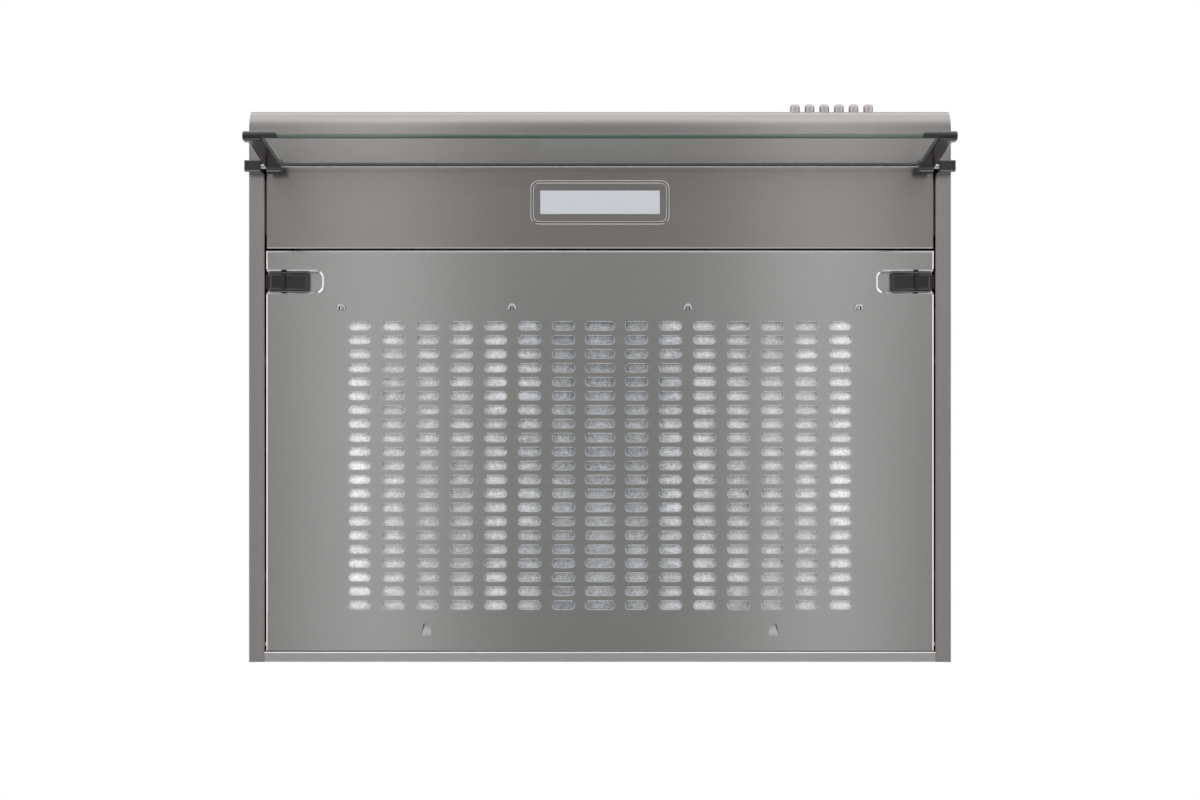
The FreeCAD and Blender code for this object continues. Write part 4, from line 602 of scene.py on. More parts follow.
# The lower fold's sloping faces take the brighter stainless: a painted highlight where the fold catches the
# lamps.
for face in bm.faces:
    if face.normal.y < -0.3 and face.normal.z < -0.3 and face.calc_center_median().y < strip_y + 1 * MM:
        face.material_index = 1
keep("rear_wall", bm, [painted_lighter_rear_stainless, painted_highlight_rim], "hood", ["rear_panel"])

bm = merged_copy("lamp_panel")
lamp_low, lamp_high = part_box("lamp_panel")
lean_folds(bm, lamp_low, lamp_high, (1,), *LAMP_SLOPE)
soften(bm, LAMP_FOLD, 2, lambda edge: all(vert.co.z > UNDERSIDE_Z + BEND_RADIUS for vert in edge.verts))
keep("lamp_cover", bm, [stainless_lamp], "hood", ["lamp_panel"])

# %% [markdown]
# ## Top and inside
# The boxes, the duct collar and the motor are moulded or pressed, so each gets the radius that its mould
# or die would leave. The smallest inner parts keep their solids and only get a finish.

# %% Rounded inner and top pieces
SMALL_ROUND = 0.3 * MM
ROUNDED = (
    ("top_plate", galvanised, "hood", FOLD), ("duct_collar", black_nylon, "hood", SMALL_ROUND),
    ("flap_front", black_nylon, "flap_front", SMALL_ROUND),
    ("flap_rear", black_nylon, "flap_rear", SMALL_ROUND),
    ("junction_box", grey_polypropylene, "hood", 1.0 * MM),
    ("junction_box_lid", grey_polypropylene, "hood", 0.6 * MM),
    ("cable_gland", black_nylon, "hood", SMALL_ROUND), ("capacitor", black_nylon, "hood", 0.8 * MM),
    ("motor_body", black_enamel, "hood", 0.8 * MM), ("blower_scroll", galvanised, "hood", SMALL_ROUND),
    ("switch_block", black_nylon, "hood", 0.5 * MM), ("lamp_tray", galvanised, "hood", SMALL_ROUND),
)
for node, finish, body, radius in ROUNDED:
    softened(node, "rounded_" + node, radius, finish, body)

# %% Inner pieces that keep their solids
PLAIN = {
    "switch_bracket": galvanised, "motor_bracket": galvanised, "motor_shaft": turned_steel,
    "flap_spindle": turned_steel, "led_board": white_board, "led_chips": phosphor,
    "impeller": grey_polypropylene, "grille_pin_left": turned_steel, "grille_pin_right": turned_steel,
    "latch_keeper_left": black_nylon, "latch_keeper_right": black_nylon,
}
for node, finish in PLAIN.items():
    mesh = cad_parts[node].data
    mesh.materials.clear()
    mesh.materials.append(finish)
print("nodes with a finish", len(PLAIN))

# %% [markdown]
# ## The front
# One sheet makes the front: it runs from the top, over a small radius, down the face, round the large
# nose and back under the lamp. A side view drawn once and pulled along X gives all of it. Spinning one
# corner point about the centre of a bend draws that bend as a true arc. The nose is pressed a little flat
# afterwards, so that it is deeper than it is high.

# %% Front sheet
front_low, front_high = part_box("front_fascia")
NOSE = 14 * MM
NOSE_FLATNESS = 0.46
TOP_BEND = 6 * MM
SHEET = 1 * MM
HEM_HEIGHT = 6 * MM
HEM_BEND = 0.8 * MM
TOP_RETURN = 30 * MM
ARC_STEPS = 16
HOLE_RADIUS = 4.6 * MM
BUTTONS = range(1, 7)


def edges_of(verts):
    """All edges that meet some points."""
    return list({edge for vert in verts for edge in vert.link_edges})


def only(kind, items):
    """The points, edges or faces among what an operator gives back."""
    return [item for item in items if isinstance(item, kind)]


def pulled(bm, vert, way):
    """A new point at the end of an edge drawn from a point."""
    made = bmesh.ops.extrude_vert_indiv(bm, verts=[vert])
    made["verts"][0].co += Vector(way)
    return made["verts"][0]


def turned(bm, vert, centre, axis, degrees, steps=ARC_STEPS):
    """The last point of an arc that starts at a point."""
    made = bmesh.ops.spin(bm, geom=[vert], cent=centre, axis=axis, angle=math.radians(degrees), steps=steps)
    return made["geom_last"][0]


bm = bmesh.new()
x, y, z = front_low.x, front_high.y, front_low.z
point = bm.verts.new((x, y, z + HEM_HEIGHT))
point = pulled(bm, point, (0, 0, HEM_BEND - HEM_HEIGHT))
point = turned(bm, point, (x, y - HEM_BEND, z + HEM_BEND), -ALONG_X, 90, 4)
point = pulled(bm, point, (0, front_low.y + NOSE - (y - HEM_BEND), 0))
point = turned(bm, point, (x, front_low.y + NOSE, z + NOSE), -ALONG_X, 90)
point = pulled(bm, point, (0, 0, front_high.z - TOP_BEND - (z + NOSE)))
point = turned(bm, point, (x, front_low.y + TOP_BEND, front_high.z - TOP_BEND), -ALONG_X, 90, 8)
point = pulled(bm, point, (0, TOP_RETURN - TOP_BEND, 0))
for vert in bm.verts:
    if vert.co.y < front_low.y + NOSE - NEAR and vert.co.z < z + NOSE + NEAR:
        vert.co.z = z + (vert.co.z - z) * NOSE_FLATNESS
far = only(bmesh.types.BMVert, bmesh.ops.extrude_edge_only(bm, edges=bm.edges[:])["geom"])
bmesh.ops.translate(bm, verts=far, vec=(front_high.x - front_low.x, 0, 0))
flat = max(bm.faces, key=lambda face: face.calc_area() if abs(face.normal.y) > 0.99 else 0)
rim = flat.edges[:]
bmesh.ops.delete(bm, geom=[flat], context="FACES_ONLY")
for number in BUTTONS:
    cap_low, cap_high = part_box("button_" + str(number))
    centre = Vector(((cap_low.x + cap_high.x) / 2, front_low.y, (cap_low.z + cap_high.z) / 2))
    facing = Matrix.Translation(centre) @ Matrix.Rotation(math.pi / 2, 4, "X")
    hole = bmesh.ops.create_circle(bm, segments=32, radius=HOLE_RADIUS, matrix=facing)
    rim += edges_of(hole["verts"])
bmesh.ops.triangle_fill(bm, edges=rim, use_beauty=True, use_dissolve=False)
bmesh.ops.recalc_face_normals(bm, faces=bm.faces)
nose_face = min(bm.faces, key=lambda face: face.calc_center_median().y)
if nose_face.normal.y > 0:
    bmesh.ops.reverse_faces(bm, faces=bm.faces)
front = keep("front_sheet", bm, [stainless_front], "hood", ["front_fascia"])
thick = front.modifiers.new("sheet", "SOLIDIFY")
thick.thickness = SHEET
thick.offset = -1

# %% [markdown]
# ## Push buttons
# Each cap is a short cylinder with a rounded end and a shallow dish for the fingertip. It starts as a
# circle that is pulled out ring by ring, with a ring for each change in its outline.

# %% Push buttons
CAP_ROUND = 2.2 * MM
DISH = 0.35 * MM
CAP_RIM = 0.15 * MM
CAP_CROWN = ((DISH, 0.45), (0.0, 0.62), (CAP_RIM, 0.74))   # depth, and share of the cap's radius
CAP_FLARE = 0.86
CAP_SHOULDER = 5 * MM
CAP_STEM = 2.4 * MM


def ring_at(bm, centre, radius, segments, facing):
    """A circle of edges."""
    place = Matrix.Translation(centre) @ facing
    return edges_of(bmesh.ops.create_circle(bm, segments=segments, radius=radius, matrix=place)["verts"])


def lathe_rings(bm, rings, facing, segments=40):
    """A round skin through circles, each given as its centre and radius. Both ends are closed."""
    loops = [ring_at(bm, centre, radius, segments, facing) for centre, radius in rings]
    for near, far in zip(loops, loops[1:]):
        bmesh.ops.bridge_loops(bm, edges=near + far)
    for loop in (loops[0], loops[-1]):
        bmesh.ops.contextual_create(bm, geom=loop)
    bmesh.ops.recalc_face_normals(bm, faces=bm.faces)


TO_Y = Matrix.Rotation(math.pi / 2, 4, "X")
for number in BUTTONS:
    node = "button_" + str(number)
    cap_low, cap_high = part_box(node)
    radius = (cap_high.x - cap_low.x) / 2
    middle = Vector(((cap_low.x + cap_high.x) / 2, 0, (cap_low.z + cap_high.z) / 2))
    rings = [(middle + ALONG_Y * (cap_low.y + depth), radius * share) for depth, share in CAP_CROWN]
    for step in range(1, 6):
        angle = math.radians(90 * step / 5)
        y = cap_low.y + CAP_RIM + CAP_ROUND * (1 - math.cos(angle))
        rings.append((middle + ALONG_Y * y, radius - CAP_ROUND * CAP_FLARE * (1 - math.sin(angle))))
    shoulder = middle + ALONG_Y * (front_low.y + CAP_SHOULDER)
    rings += [(shoulder, radius), (shoulder, CAP_STEM), (middle + ALONG_Y * cap_high.y, CAP_STEM)]
    bm = bmesh.new()
    lathe_rings(bm, rings, TO_Y)
    keep("push_button_" + str(number), bm, [satin_cap], node, [node])

# %% [markdown]
# ## Lamp frame and lens
# Round the lamp runs a rounded rectangular bead with a fine groove along its crown. Insetting one face
# again and again, a little down or up each time, draws that section and follows the corners by itself.
# The lens sits in a square window in the flat inside the bead.

# %% Lamp frame
bezel_low, bezel_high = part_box("lamp_bezel")
lens_low, lens_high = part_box("lamp_lens")
# how far in and how far down each step of the bead goes, in millimetres
BEAD_STEPS = ((0.15, 0.15), (0.9, 0.65), (0.12, 0.0), (0.3, -0.6), (0.1, 0.0), (0.3, 0.6), (0.12, 0.0),
              (0.9, -0.65), (0.15, -0.15))
BEZEL_CORNER = 7.5 * MM
LENS_FLANGE = 2.5 * MM
FRAME_BACK = 0.1 * MM      # above the underside
FRAME_LIP = 0.3 * MM
WINDOW_GAP = 0.15 * MM
WINDOW_DROP = 0.2 * MM

bm = bmesh.new()
middle = (bezel_low + bezel_high) / 2
size = bezel_high - bezel_low
bmesh.ops.create_grid(bm, x_segments=1, y_segments=1, size=0.5)
bmesh.ops.scale(bm, verts=bm.verts, vec=(size.x, size.y, 1))
bmesh.ops.translate(bm, verts=bm.verts, vec=(middle.x, middle.y, UNDERSIDE_Z + FRAME_BACK))
round_off(bm, bm.verts[:], BEZEL_CORNER, 10, affect="VERTICES")
bm.normal_update()
bm.faces.ensure_lookup_table()
plate = bm.faces[0]
if plate.normal.z > 0:
    bmesh.ops.reverse_faces(bm, faces=[plate])
rim = plate.edges[:]
plate = bmesh.ops.extrude_discrete_faces(bm, faces=[plate])["faces"][0]
bmesh.ops.translate(bm, verts=plate.verts[:], vec=(0, 0, -FRAME_LIP))
for inwards, down in BEAD_STEPS:
    bmesh.ops.inset_individual(bm, faces=[plate], thickness=inwards * MM, use_even_offset=True)
    bmesh.ops.translate(bm, verts=plate.verts[:], vec=(0, 0, -down * MM))
inner = plate.edges[:]
bmesh.ops.delete(bm, geom=[plate], context="FACES_ONLY")
window_half = (lens_high - lens_low) / 2 - (LENS_FLANGE - WINDOW_GAP) * Vector((1, 1, 0))
window = bmesh.ops.create_grid(bm, x_segments=1, y_segments=1, size=1.0)
bmesh.ops.scale(bm, verts=window["verts"], vec=(window_half.x, window_half.y, 1))
bmesh.ops.translate(bm, verts=window["verts"], vec=(middle.x, middle.y, UNDERSIDE_Z - WINDOW_DROP))
sides = edges_of(window["verts"])
bmesh.ops.delete(bm, geom=list(window["verts"][0].link_faces), context="FACES_ONLY")
bmesh.ops.triangle_fill(bm, edges=inner + sides, use_beauty=True)
wall = bmesh.ops.extrude_edge_only(bm, edges=sides)["geom"]
bmesh.ops.translate(bm, verts=only(bmesh.types.BMVert, wall), vec=(0, 0, FRAME_BACK + WINDOW_DROP))
top = [edge for edge in only(bmesh.types.BMEdge, wall)
       if all(vert.co.z > UNDERSIDE_Z + NEAR for vert in edge.verts)]
bmesh.ops.triangle_fill(bm, edges=rim + top, use_beauty=True)
bmesh.ops.recalc_face_normals(bm, faces=bm.faces)
keep("lamp_frame", bm, [stainless_lamp], "hood", ["lamp_bezel"])
softened("lamp_lens", "lamp_window", 0.25 * MM, opal_lens, "hood")

# %% [markdown]
# ## The slotted panel
# The panel is one folded tray with 315 slots. Its edges, pockets and corners come from the frame's node,
# and only the field of slots is taken out of the copy. One cell is then made: a rectangle of sheet with a
# slot whose lip is rolled upwards. Copies of that cell, a pitch apart, fill the field again. The lip is
# what catches the light as a thin bright line round each slot.

# %% The tray without its field
tray_low, tray_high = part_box("grille_panel")
COLUMN_PITCH = 29.05 * MM
CENTRE_PITCH = 31.2 * MM
ROW_PITCH = 11.93 * MM
ROWS = 21
SIDE_COLUMNS = 7
ROWS_FROM_FRONT = 64.1 * MM
TABS_FROM_FRONT = 49.6 * MM
TAB_HOLE = 6 * MM
SHEET_TOP = 1.05 * MM
SIDE_FOLD = (0.6 * MM, 0.5 * MM, 0.5 * MM)
FRONT_FOLD = (1.3 * MM, 1.0 * MM, 0.4 * MM)
REAR_FOLD = (0.5 * MM, 1.0 * MM, 0.4 * MM)
ON_PLANE = 0.001 * MM
FIRST_ROW_Y = tray_low.y + ROWS_FROM_FRONT
FIELD_X = CENTRE_PITCH + (SIDE_COLUMNS - 0.5) * COLUMN_PITCH
FIELD_Y = (FIRST_ROW_Y - ROW_PITCH / 2, FIRST_ROW_Y + (ROWS - 0.5) * ROW_PITCH)
TAB_Y = tray_low.y + TABS_FROM_FRONT


def cut(bm, place, way, near=0.0, some=None, drop=False):
    """Cuts the mesh, or some of its edges, with a plane, and may drop what lies on the side of way."""
    geom = bm.verts[:] + bm.edges[:] + bm.faces[:] if some is None else some
    bmesh.ops.bisect_plane(bm, geom=geom, dist=near, plane_co=place, plane_no=way, clear_outer=drop)


def open_edges(bm):
    """The edges that have only one face."""
    return [edge for edge in bm.edges if edge.is_boundary]


panel = bmesh.new()
panel.from_mesh(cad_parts["grille_panel"].data)
bmesh.ops.remove_doubles(panel, verts=panel.verts, dist=SAME_POINT)
for place, way in (((FIELD_X, 0, 0), ALONG_X), ((-FIELD_X, 0, 0), ALONG_X),
                   ((0, FIELD_Y[0], 0), ALONG_Y), ((0, FIELD_Y[1], 0), ALONG_Y)):
    cut(panel, place, way, ON_PLANE)
spare = []
for face in panel.faces:
    spot = face.calc_center_median()
    in_field = abs(spot.x) < FIELD_X and FIELD_Y[0] < spot.y < FIELD_Y[1]
    if (in_field and spot.z < UNDERSIDE_Z + SHEET_TOP) or spot.z < UNDERSIDE_Z - NEAR:
        spare.append(face)
bmesh.ops.delete(panel, geom=spare, context="FACES")
lean_folds(panel, tray_low, tray_high, (0,), *SIDE_FOLD)
lean_folds(panel, tray_low, tray_high, (1,), *FRONT_FOLD, ends=(1,))
lean_folds(panel, tray_low, tray_high, (1,), *REAR_FOLD, ends=(-1,))
bmesh.ops.dissolve_limit(panel, angle_limit=SAME_PLANE, verts=panel.verts, edges=panel.edges)

feet = [edge for edge in panel.edges if len(edge.link_faces) == 1 and all(
    abs(vert.co.z - UNDERSIDE_Z) < NEAR and abs(vert.co.y - TAB_Y) < TAB_HOLE for vert in edge.verts)]
for face in only(bmesh.types.BMFace, bmesh.ops.triangle_fill(panel, edges=feet, use_beauty=True)["geom"]):
    if face.normal.z > 0:
        face.normal_flip()
borders = []
for number in range(SIDE_COLUMNS):
    borders.append((ALONG_X, CENTRE_PITCH + (number - 0.5) * COLUMN_PITCH))
    borders.append((ALONG_X, -borders[-1][1]))
for number in range(1, ROWS):
    borders.append((ALONG_Y, FIELD_Y[0] + number * ROW_PITCH))
for way, place in borders:
    cut(panel, way * place, way, ON_PLANE, open_edges(panel))
print("tray", len(panel.faces), "faces, split for the cells at", len(borders), "places")

# %% Rounded pockets
LATCH_Y = (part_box("latch_right")[0].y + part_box("latch_right")[1].y) / 2
POCKET_HALF = 9.8 * MM
POCKET_LENGTH = 48 * MM
POCKET_ROOF = 6 * MM
POCKET_CORNER = 6 * MM
POCKET_SIDE = 3 * MM
DRAWN_ENDWAYS = (1.0 * MM, 0.3 * MM)     # at the foot, and more towards the roof
DRAWN_SIDEWAYS = 1.1 * MM
ROOF_ROUND = 0.5 * MM
RIM_SLOPE = 1.6 * MM
RIM_RISE = 1.25 * MM
RIM_BAND = (1.3 * MM, 1.8 * MM)          # where the slopes' upper points lie before they are levelled
SIDE_FOLD_NEAR = 2 * MM


def on_pocket(vert, height=None):
    """Whether a point of the tray lies on the outline of a latch pocket, at a height above the underside."""
    rise = vert.co.z - UNDERSIDE_Z
    across = abs(vert.co.y - LATCH_Y)
    along = tray_high.x - abs(vert.co.x)
    if not -NEAR < rise < POCKET_ROOF + NEAR or (height is not None and abs(rise - height) > NEAR):
        return False
    if across > POCKET_HALF + NEAR or not -NEAR < along < POCKET_LENGTH + NEAR:
        return False
    return across > POCKET_HALF - POCKET_SIDE or along > POCKET_LENGTH - POCKET_CORNER - NEAR


outline = [vert for vert in panel.verts if on_pocket(vert)]
rims = []
for edge in panel.edges:
    low_edge = all(on_pocket(vert, 0) for vert in edge.verts)
    high_edge = all(on_pocket(vert, POCKET_ROOF) for vert in edge.verts)
    if (low_edge or high_edge) and len(edge.link_faces) == 2 and edge.calc_face_angle() > HARD_ABOVE:
        rims.append((edge, low_edge))
for vert in outline:
    share = (vert.co.z - UNDERSIDE_Z) / POCKET_ROOF
    along = tray_high.x - abs(vert.co.x)
    drawn_in = along * (1 - (DRAWN_ENDWAYS[0] + DRAWN_ENDWAYS[1] * share) / POCKET_LENGTH)
    vert.co.x = math.copysign(tray_high.x - drawn_in, vert.co.x)
    vert.co.y = LATCH_Y + (vert.co.y - LATCH_Y) * (1 - DRAWN_SIDEWAYS / POCKET_HALF)
print("pocket edges", len(rims))
round_off(panel, [edge for edge, lower in rims if not lower], ROOF_ROUND, 2, clamp=True)
slopes = set(round_off(panel, [edge for edge, lower in rims if lower], RIM_SLOPE))
for vert in panel.verts:
    if abs(vert.co.y - LATCH_Y) < POCKET_HALF and RIM_BAND[0] < vert.co.z - UNDERSIDE_Z < RIM_BAND[1]:
        if tray_high.x - POCKET_LENGTH < abs(vert.co.x) < tray_high.x + NEAR:
            vert.co.z = UNDERSIDE_Z + RIM_RISE
panel.normal_update()
# The pockets' end slopes and the side folds' sloping faces take the brighter stainless: a painted highlight.
for face in panel.faces:
    spot = face.calc_center_median()
    on_side_fold = abs(spot.x) > tray_high.x - SIDE_FOLD_NEAR and spot.z < UNDERSIDE_Z + 1 * MM
    if (face in slopes or on_side_fold) and abs(face.normal.x) > 0.25 and 0.3 < -face.normal.z < 0.99:
        face.material_index = 1

# %% One cell, then the field
SLOT_WIDTH = 8.8 * MM
SLOT_LENGTH = 20.5 * MM
CENTRE_SLOT_LENGTH = 26.5 * MM
SLOT_STEPS = 20
# how far in and how high each step of the lip is, in millimetres
LIP = ((0.25, 0.0), (0.75, 0.36), (0.82, 1.0))


def slot_ring(bm, length, inset, height):
    """The outline of a slot with round ends, at one step of its lip."""
    radius = SLOT_WIDTH / 2 - inset
    made = bmesh.ops.create_circle(bm, segments=SLOT_STEPS, radius=radius)
    for vert in made["verts"]:
        side = (vert.co.x > 0.001 * MM) - (vert.co.x < -0.001 * MM)
        vert.co.x += side * (length - SLOT_WIDTH) / 2
        vert.co.z = UNDERSIDE_Z + height
    return edges_of(made["verts"])


def sheet_round(bm, ring, width, height):
    """The flat sheet between a slot's outline and the edge of its cell."""
    made = bmesh.ops.create_grid(bm, x_segments=1, y_segments=1, size=0.5)
    bmesh.ops.scale(bm, verts=made["verts"], vec=(width, ROW_PITCH, 1))
    bmesh.ops.translate(bm, verts=made["verts"], vec=(0, 0, UNDERSIDE_Z + height))
    edges = edges_of(made["verts"])
    bmesh.ops.delete(bm, geom=list(made["verts"][0].link_faces), context="FACES_ONLY")
    filled = bmesh.ops.triangle_fill(bm, edges=edges + ring, use_beauty=True)
    return only(bmesh.types.BMFace, filled["geom"])


def join(bm, name):
    """Adds a finished bmesh to the panel and frees it."""
    mesh = bpy.data.meshes.new(name)
    bm.to_mesh(mesh)
    bm.free()
    panel.from_mesh(mesh)
    bpy.data.meshes.remove(mesh)


def slot_column(x, width, length):
    """One column of cells, added to the panel."""
    bm = bmesh.new()
    rings = [slot_ring(bm, length, inset * MM, height * MM) for inset, height in LIP]
    for near, far in zip(rings, rings[1:]):
        bmesh.ops.bridge_loops(bm, edges=near + far)
    for face in bm.faces:
        spot = face.calc_center_median()
        if face.normal.dot(Vector((0, -spot.y, -1 * MM))) < 0:
            face.normal_flip()
    for ring, height, way in ((rings[0], 0, -1), (rings[-1], 1 * MM, 1)):
        for face in sheet_round(bm, ring, width, height):
            if face.normal.z * way < 0:
                face.normal_flip()
    bmesh.ops.translate(bm, verts=bm.verts, vec=(x, FIRST_ROW_Y, 0))
    bmesh.ops.spin(bm, geom=bm.verts[:] + bm.edges[:] + bm.faces[:], cent=(0, 0, 0), axis=ALONG_Z, angle=0,
                   dvec=(0, ROW_PITCH, 0), steps=ROWS - 1, use_duplicate=True)
    join(bm, "column")


slot_column(0, 2 * CENTRE_PITCH - COLUMN_PITCH, CENTRE_SLOT_LENGTH)
for number in range(SIDE_COLUMNS):
    for side in (-1, 1):
        slot_column(side * (CENTRE_PITCH + number * COLUMN_PITCH), COLUMN_PITCH, SLOT_LENGTH)
bmesh.ops.remove_doubles(panel, verts=panel.verts, dist=SAME_POINT)
spots = set()
for edge in open_edges(panel):
    for vert in edge.verts:
        spots |= {(axis, round(vert.co[axis], 6)) for axis in (0, 1)}
for axis, place in sorted(spots):
    way = (ALONG_X, ALONG_Y)[axis]
    cut(panel, way * place, way, 2 * ON_PLANE, open_edges(panel))
bmesh.ops.remove_doubles(panel, verts=panel.verts, dist=SAME_POINT)
print("panel", len(panel.faces), "faces,", len(open_edges(panel)), "open edges")

# %% [markdown]
# Four small domes are lanced down out of the sheet. Each is half a flattened ball, open to the rear and
# slit in the middle, where the bright end of a wire hooks in.

# %% Lanced domes
TAB_RADIUS = 4.2 * MM
TAB_DEPTH = 2.4 * MM
TAB_LENGTH = 6.1 * MM
DOME_SHEET = 0.7 * MM
DOME_BACK = 0.8 * MM       # its middle lies this far behind the wire's end
DOME_SUNK = 0.15 * MM
SLIT = 3.0 * MM
wire_low, wire_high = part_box("filter_wire_right")
WIRE_RADIUS = 1.25 * MM

for side in (-1, 1):
    for x in (wire_low.x + WIRE_RADIUS, wire_high.x - WIRE_RADIUS):
        bm = bmesh.new()
        bmesh.ops.create_uvsphere(bm, u_segments=32, v_segments=16, radius=TAB_RADIUS)
        for way in (ALONG_Z, ALONG_Y):
            cut(bm, (0, 0, 0), way, drop=True)
        for place, way in (((SLIT / 2, 0, 0), ALONG_X), ((-SLIT / 2, 0, 0), ALONG_X),
                           ((0, -TAB_RADIUS / 2, 0), ALONG_Y)):
            cut(bm, place, way)
        slit = []
        for face in bm.faces:
            spot = face.calc_center_median()
            if abs(spot.x) < SLIT / 2 and spot.y > -TAB_RADIUS / 2:
                slit.append(face)
        bmesh.ops.delete(bm, geom=slit, context="FACES")
        bmesh.ops.scale(bm, verts=bm.verts, vec=(1, TAB_LENGTH / TAB_RADIUS, TAB_DEPTH / TAB_RADIUS))
        bmesh.ops.solidify(bm, geom=bm.faces[:], thickness=DOME_SHEET)
        bmesh.ops.translate(bm, verts=bm.verts, vec=(side * x, TAB_Y + DOME_BACK, UNDERSIDE_Z + DOME_SUNK))
        join(bm, "dome")

# %% [markdown]
# The two tongues near the rear are bell-shaped flaps that rise out of their holes at a slant and end
# level. The slant mirrors the bright floor in front. Each starts as one edge at its root, which is
# extruded step by step, raised and narrowed.

# %% Bell tongues
TONGUE_X = (wire_low.x + wire_high.x) / 2
TONGUE_REAR = tray_high.y - 13.6 * MM
TONGUE_SHEET = 0.8 * MM
# how far from the root, how high and half how wide, in millimetres
TONGUE_STEPS = ((-1.0, 0.05, 4.5), (0.6, 0.5, 4.4), (3.0, 1.4, 4.2), (7.0, 2.9, 3.8), (8.6, 3.2, 3.5),
                (12.6, 3.2, 2.8))


def pulled_edges(bm, edges):
    """Extrudes edges and returns the new far ones."""
    made = bmesh.ops.extrude_edge_only(bm, edges=edges)["geom"]
    return [edge for edge in only(bmesh.types.BMEdge, made) if all(vert in made for vert in edge.verts)]


def points_of(edges):
    """All points of some edges."""
    return {vert for edge in edges for vert in edge.verts}


for side in (-1, 1):
    middle_x = side * TONGUE_X
    bm = bmesh.new()
    row = [bm.edges.new([bm.verts.new((middle_x + way * MM, 0, 0)) for way in (-1, 1)])]
    for number, (along, rise, half) in enumerate(TONGUE_STEPS):
        if number:
            row = pulled_edges(bm, row)
        for vert in points_of(row):
            way = 1 if vert.co.x > middle_x else -1
            vert.co = (middle_x + way * half * MM, TONGUE_REAR - along * MM, UNDERSIDE_Z + rise * MM)
    bmesh.ops.recalc_face_normals(bm, faces=bm.faces)
    if sum(face.normal.z for face in bm.faces) > 0:
        bmesh.ops.reverse_faces(bm, faces=bm.faces)
    bmesh.ops.solidify(bm, geom=bm.faces[:], thickness=TONGUE_SHEET)
    join(bm, "tongue")
keep("slotted_panel", panel, [stainless_grille, painted_highlight_rim], "grille", ["grille_panel"])

# %% [markdown]
# ## Filter mat
# The mat is a soft slab that lies on the panel and is held down by the wires' legs. Between them it
# bulges up, the most in the middle, which is why the slots there look darker. It is cut from a grid with
# many rows, pushed up and down by a seeded random amount and then smoothed, which leaves low swells.

# %% Filter mat
mat_low, mat_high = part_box("filter_fleece")
MAT_COLUMNS = 90
MAT_ROWS = 52
SWELL = 0.9 * MM
MIDDLE_BULGE = 3.4 * MM
SIDE_BULGE = 2.4 * MM
MAT_LIFT = 1.1 * MM
MAT_THINNER = 1.8 * MM
LEG_NEAR = wire_low.x
LEG_FAR = wire_high.x


def bulge(x):
    """How far the mat's lower face stands off the sheet."""
    if abs(x) < LEG_NEAR:
        return MIDDLE_BULGE * math.cos(math.pi / 2 * x / LEG_NEAR)
    if abs(x) < LEG_FAR:
        return SIDE_BULGE * math.sin(math.pi * (abs(x) - LEG_NEAR) / (LEG_FAR - LEG_NEAR))
    return 0.0


random.seed(7)
bm = bmesh.new()
bmesh.ops.create_grid(bm, x_segments=MAT_COLUMNS, y_segments=MAT_ROWS, size=0.5)
bmesh.ops.scale(bm, verts=bm.verts, vec=(mat_high.x - mat_low.x, mat_high.y - mat_low.y, 1))
for vert in bm.verts:
    vert.co.z += random.uniform(-SWELL, SWELL) * 3
for turn in range(6):
    bmesh.ops.smooth_vert(bm, verts=bm.verts, factor=0.5, use_axis_z=True)
raised = only(bmesh.types.BMVert, bmesh.ops.extrude_face_region(bm, geom=bm.faces[:])["geom"])
bmesh.ops.translate(bm, verts=raised, vec=(0, 0, mat_high.z - mat_low.z - MAT_THINNER))
raised = set(raised)
for vert in bm.verts:
    if vert not in raised:
        vert.co.z += bulge(vert.co.x)
print("mat", round((mat_high.z - mat_low.z) / MM, 1), "mm thick at the wires")
centre = (mat_low + mat_high) / 2
bmesh.ops.translate(bm, verts=bm.verts, vec=(centre.x, centre.y, mat_low.z + MAT_LIFT))
bmesh.ops.recalc_face_normals(bm, faces=bm.faces)
mat = keep("filter_mat", bm, [fleece_white], "grille", ["filter_fleece"])

# %% [markdown]
# ## Filter wires
# Each wire is a bright steel rod bent into a long U. A circle pulled along a leg and spun about the
# centre of each bend makes it in one go. Its two feet are pinched thin, so that they enter their slits.

# %% Filter wires
BEND = 6 * MM
WIRE_STEPS = 14
FOOT_SHARE = 0.4
FOOT_BEND = 1.6 * MM


def pull_loop(bm, edges, way):
    """Pulls a loop of edges along a vector and returns the new loop."""
    loop = pulled_edges(bm, edges)
    bmesh.ops.translate(bm, verts=list(points_of(loop)), vec=way)
    return loop


def spin_loop(bm, edges, centre, axis, degrees, steps=8):
    """Spins a loop of edges about an axis and returns the last loop."""
    made = bmesh.ops.spin(bm, geom=edges + list(points_of(edges)), cent=centre, axis=axis,
                          angle=math.radians(degrees), steps=steps)
    return only(bmesh.types.BMEdge, made["geom_last"])


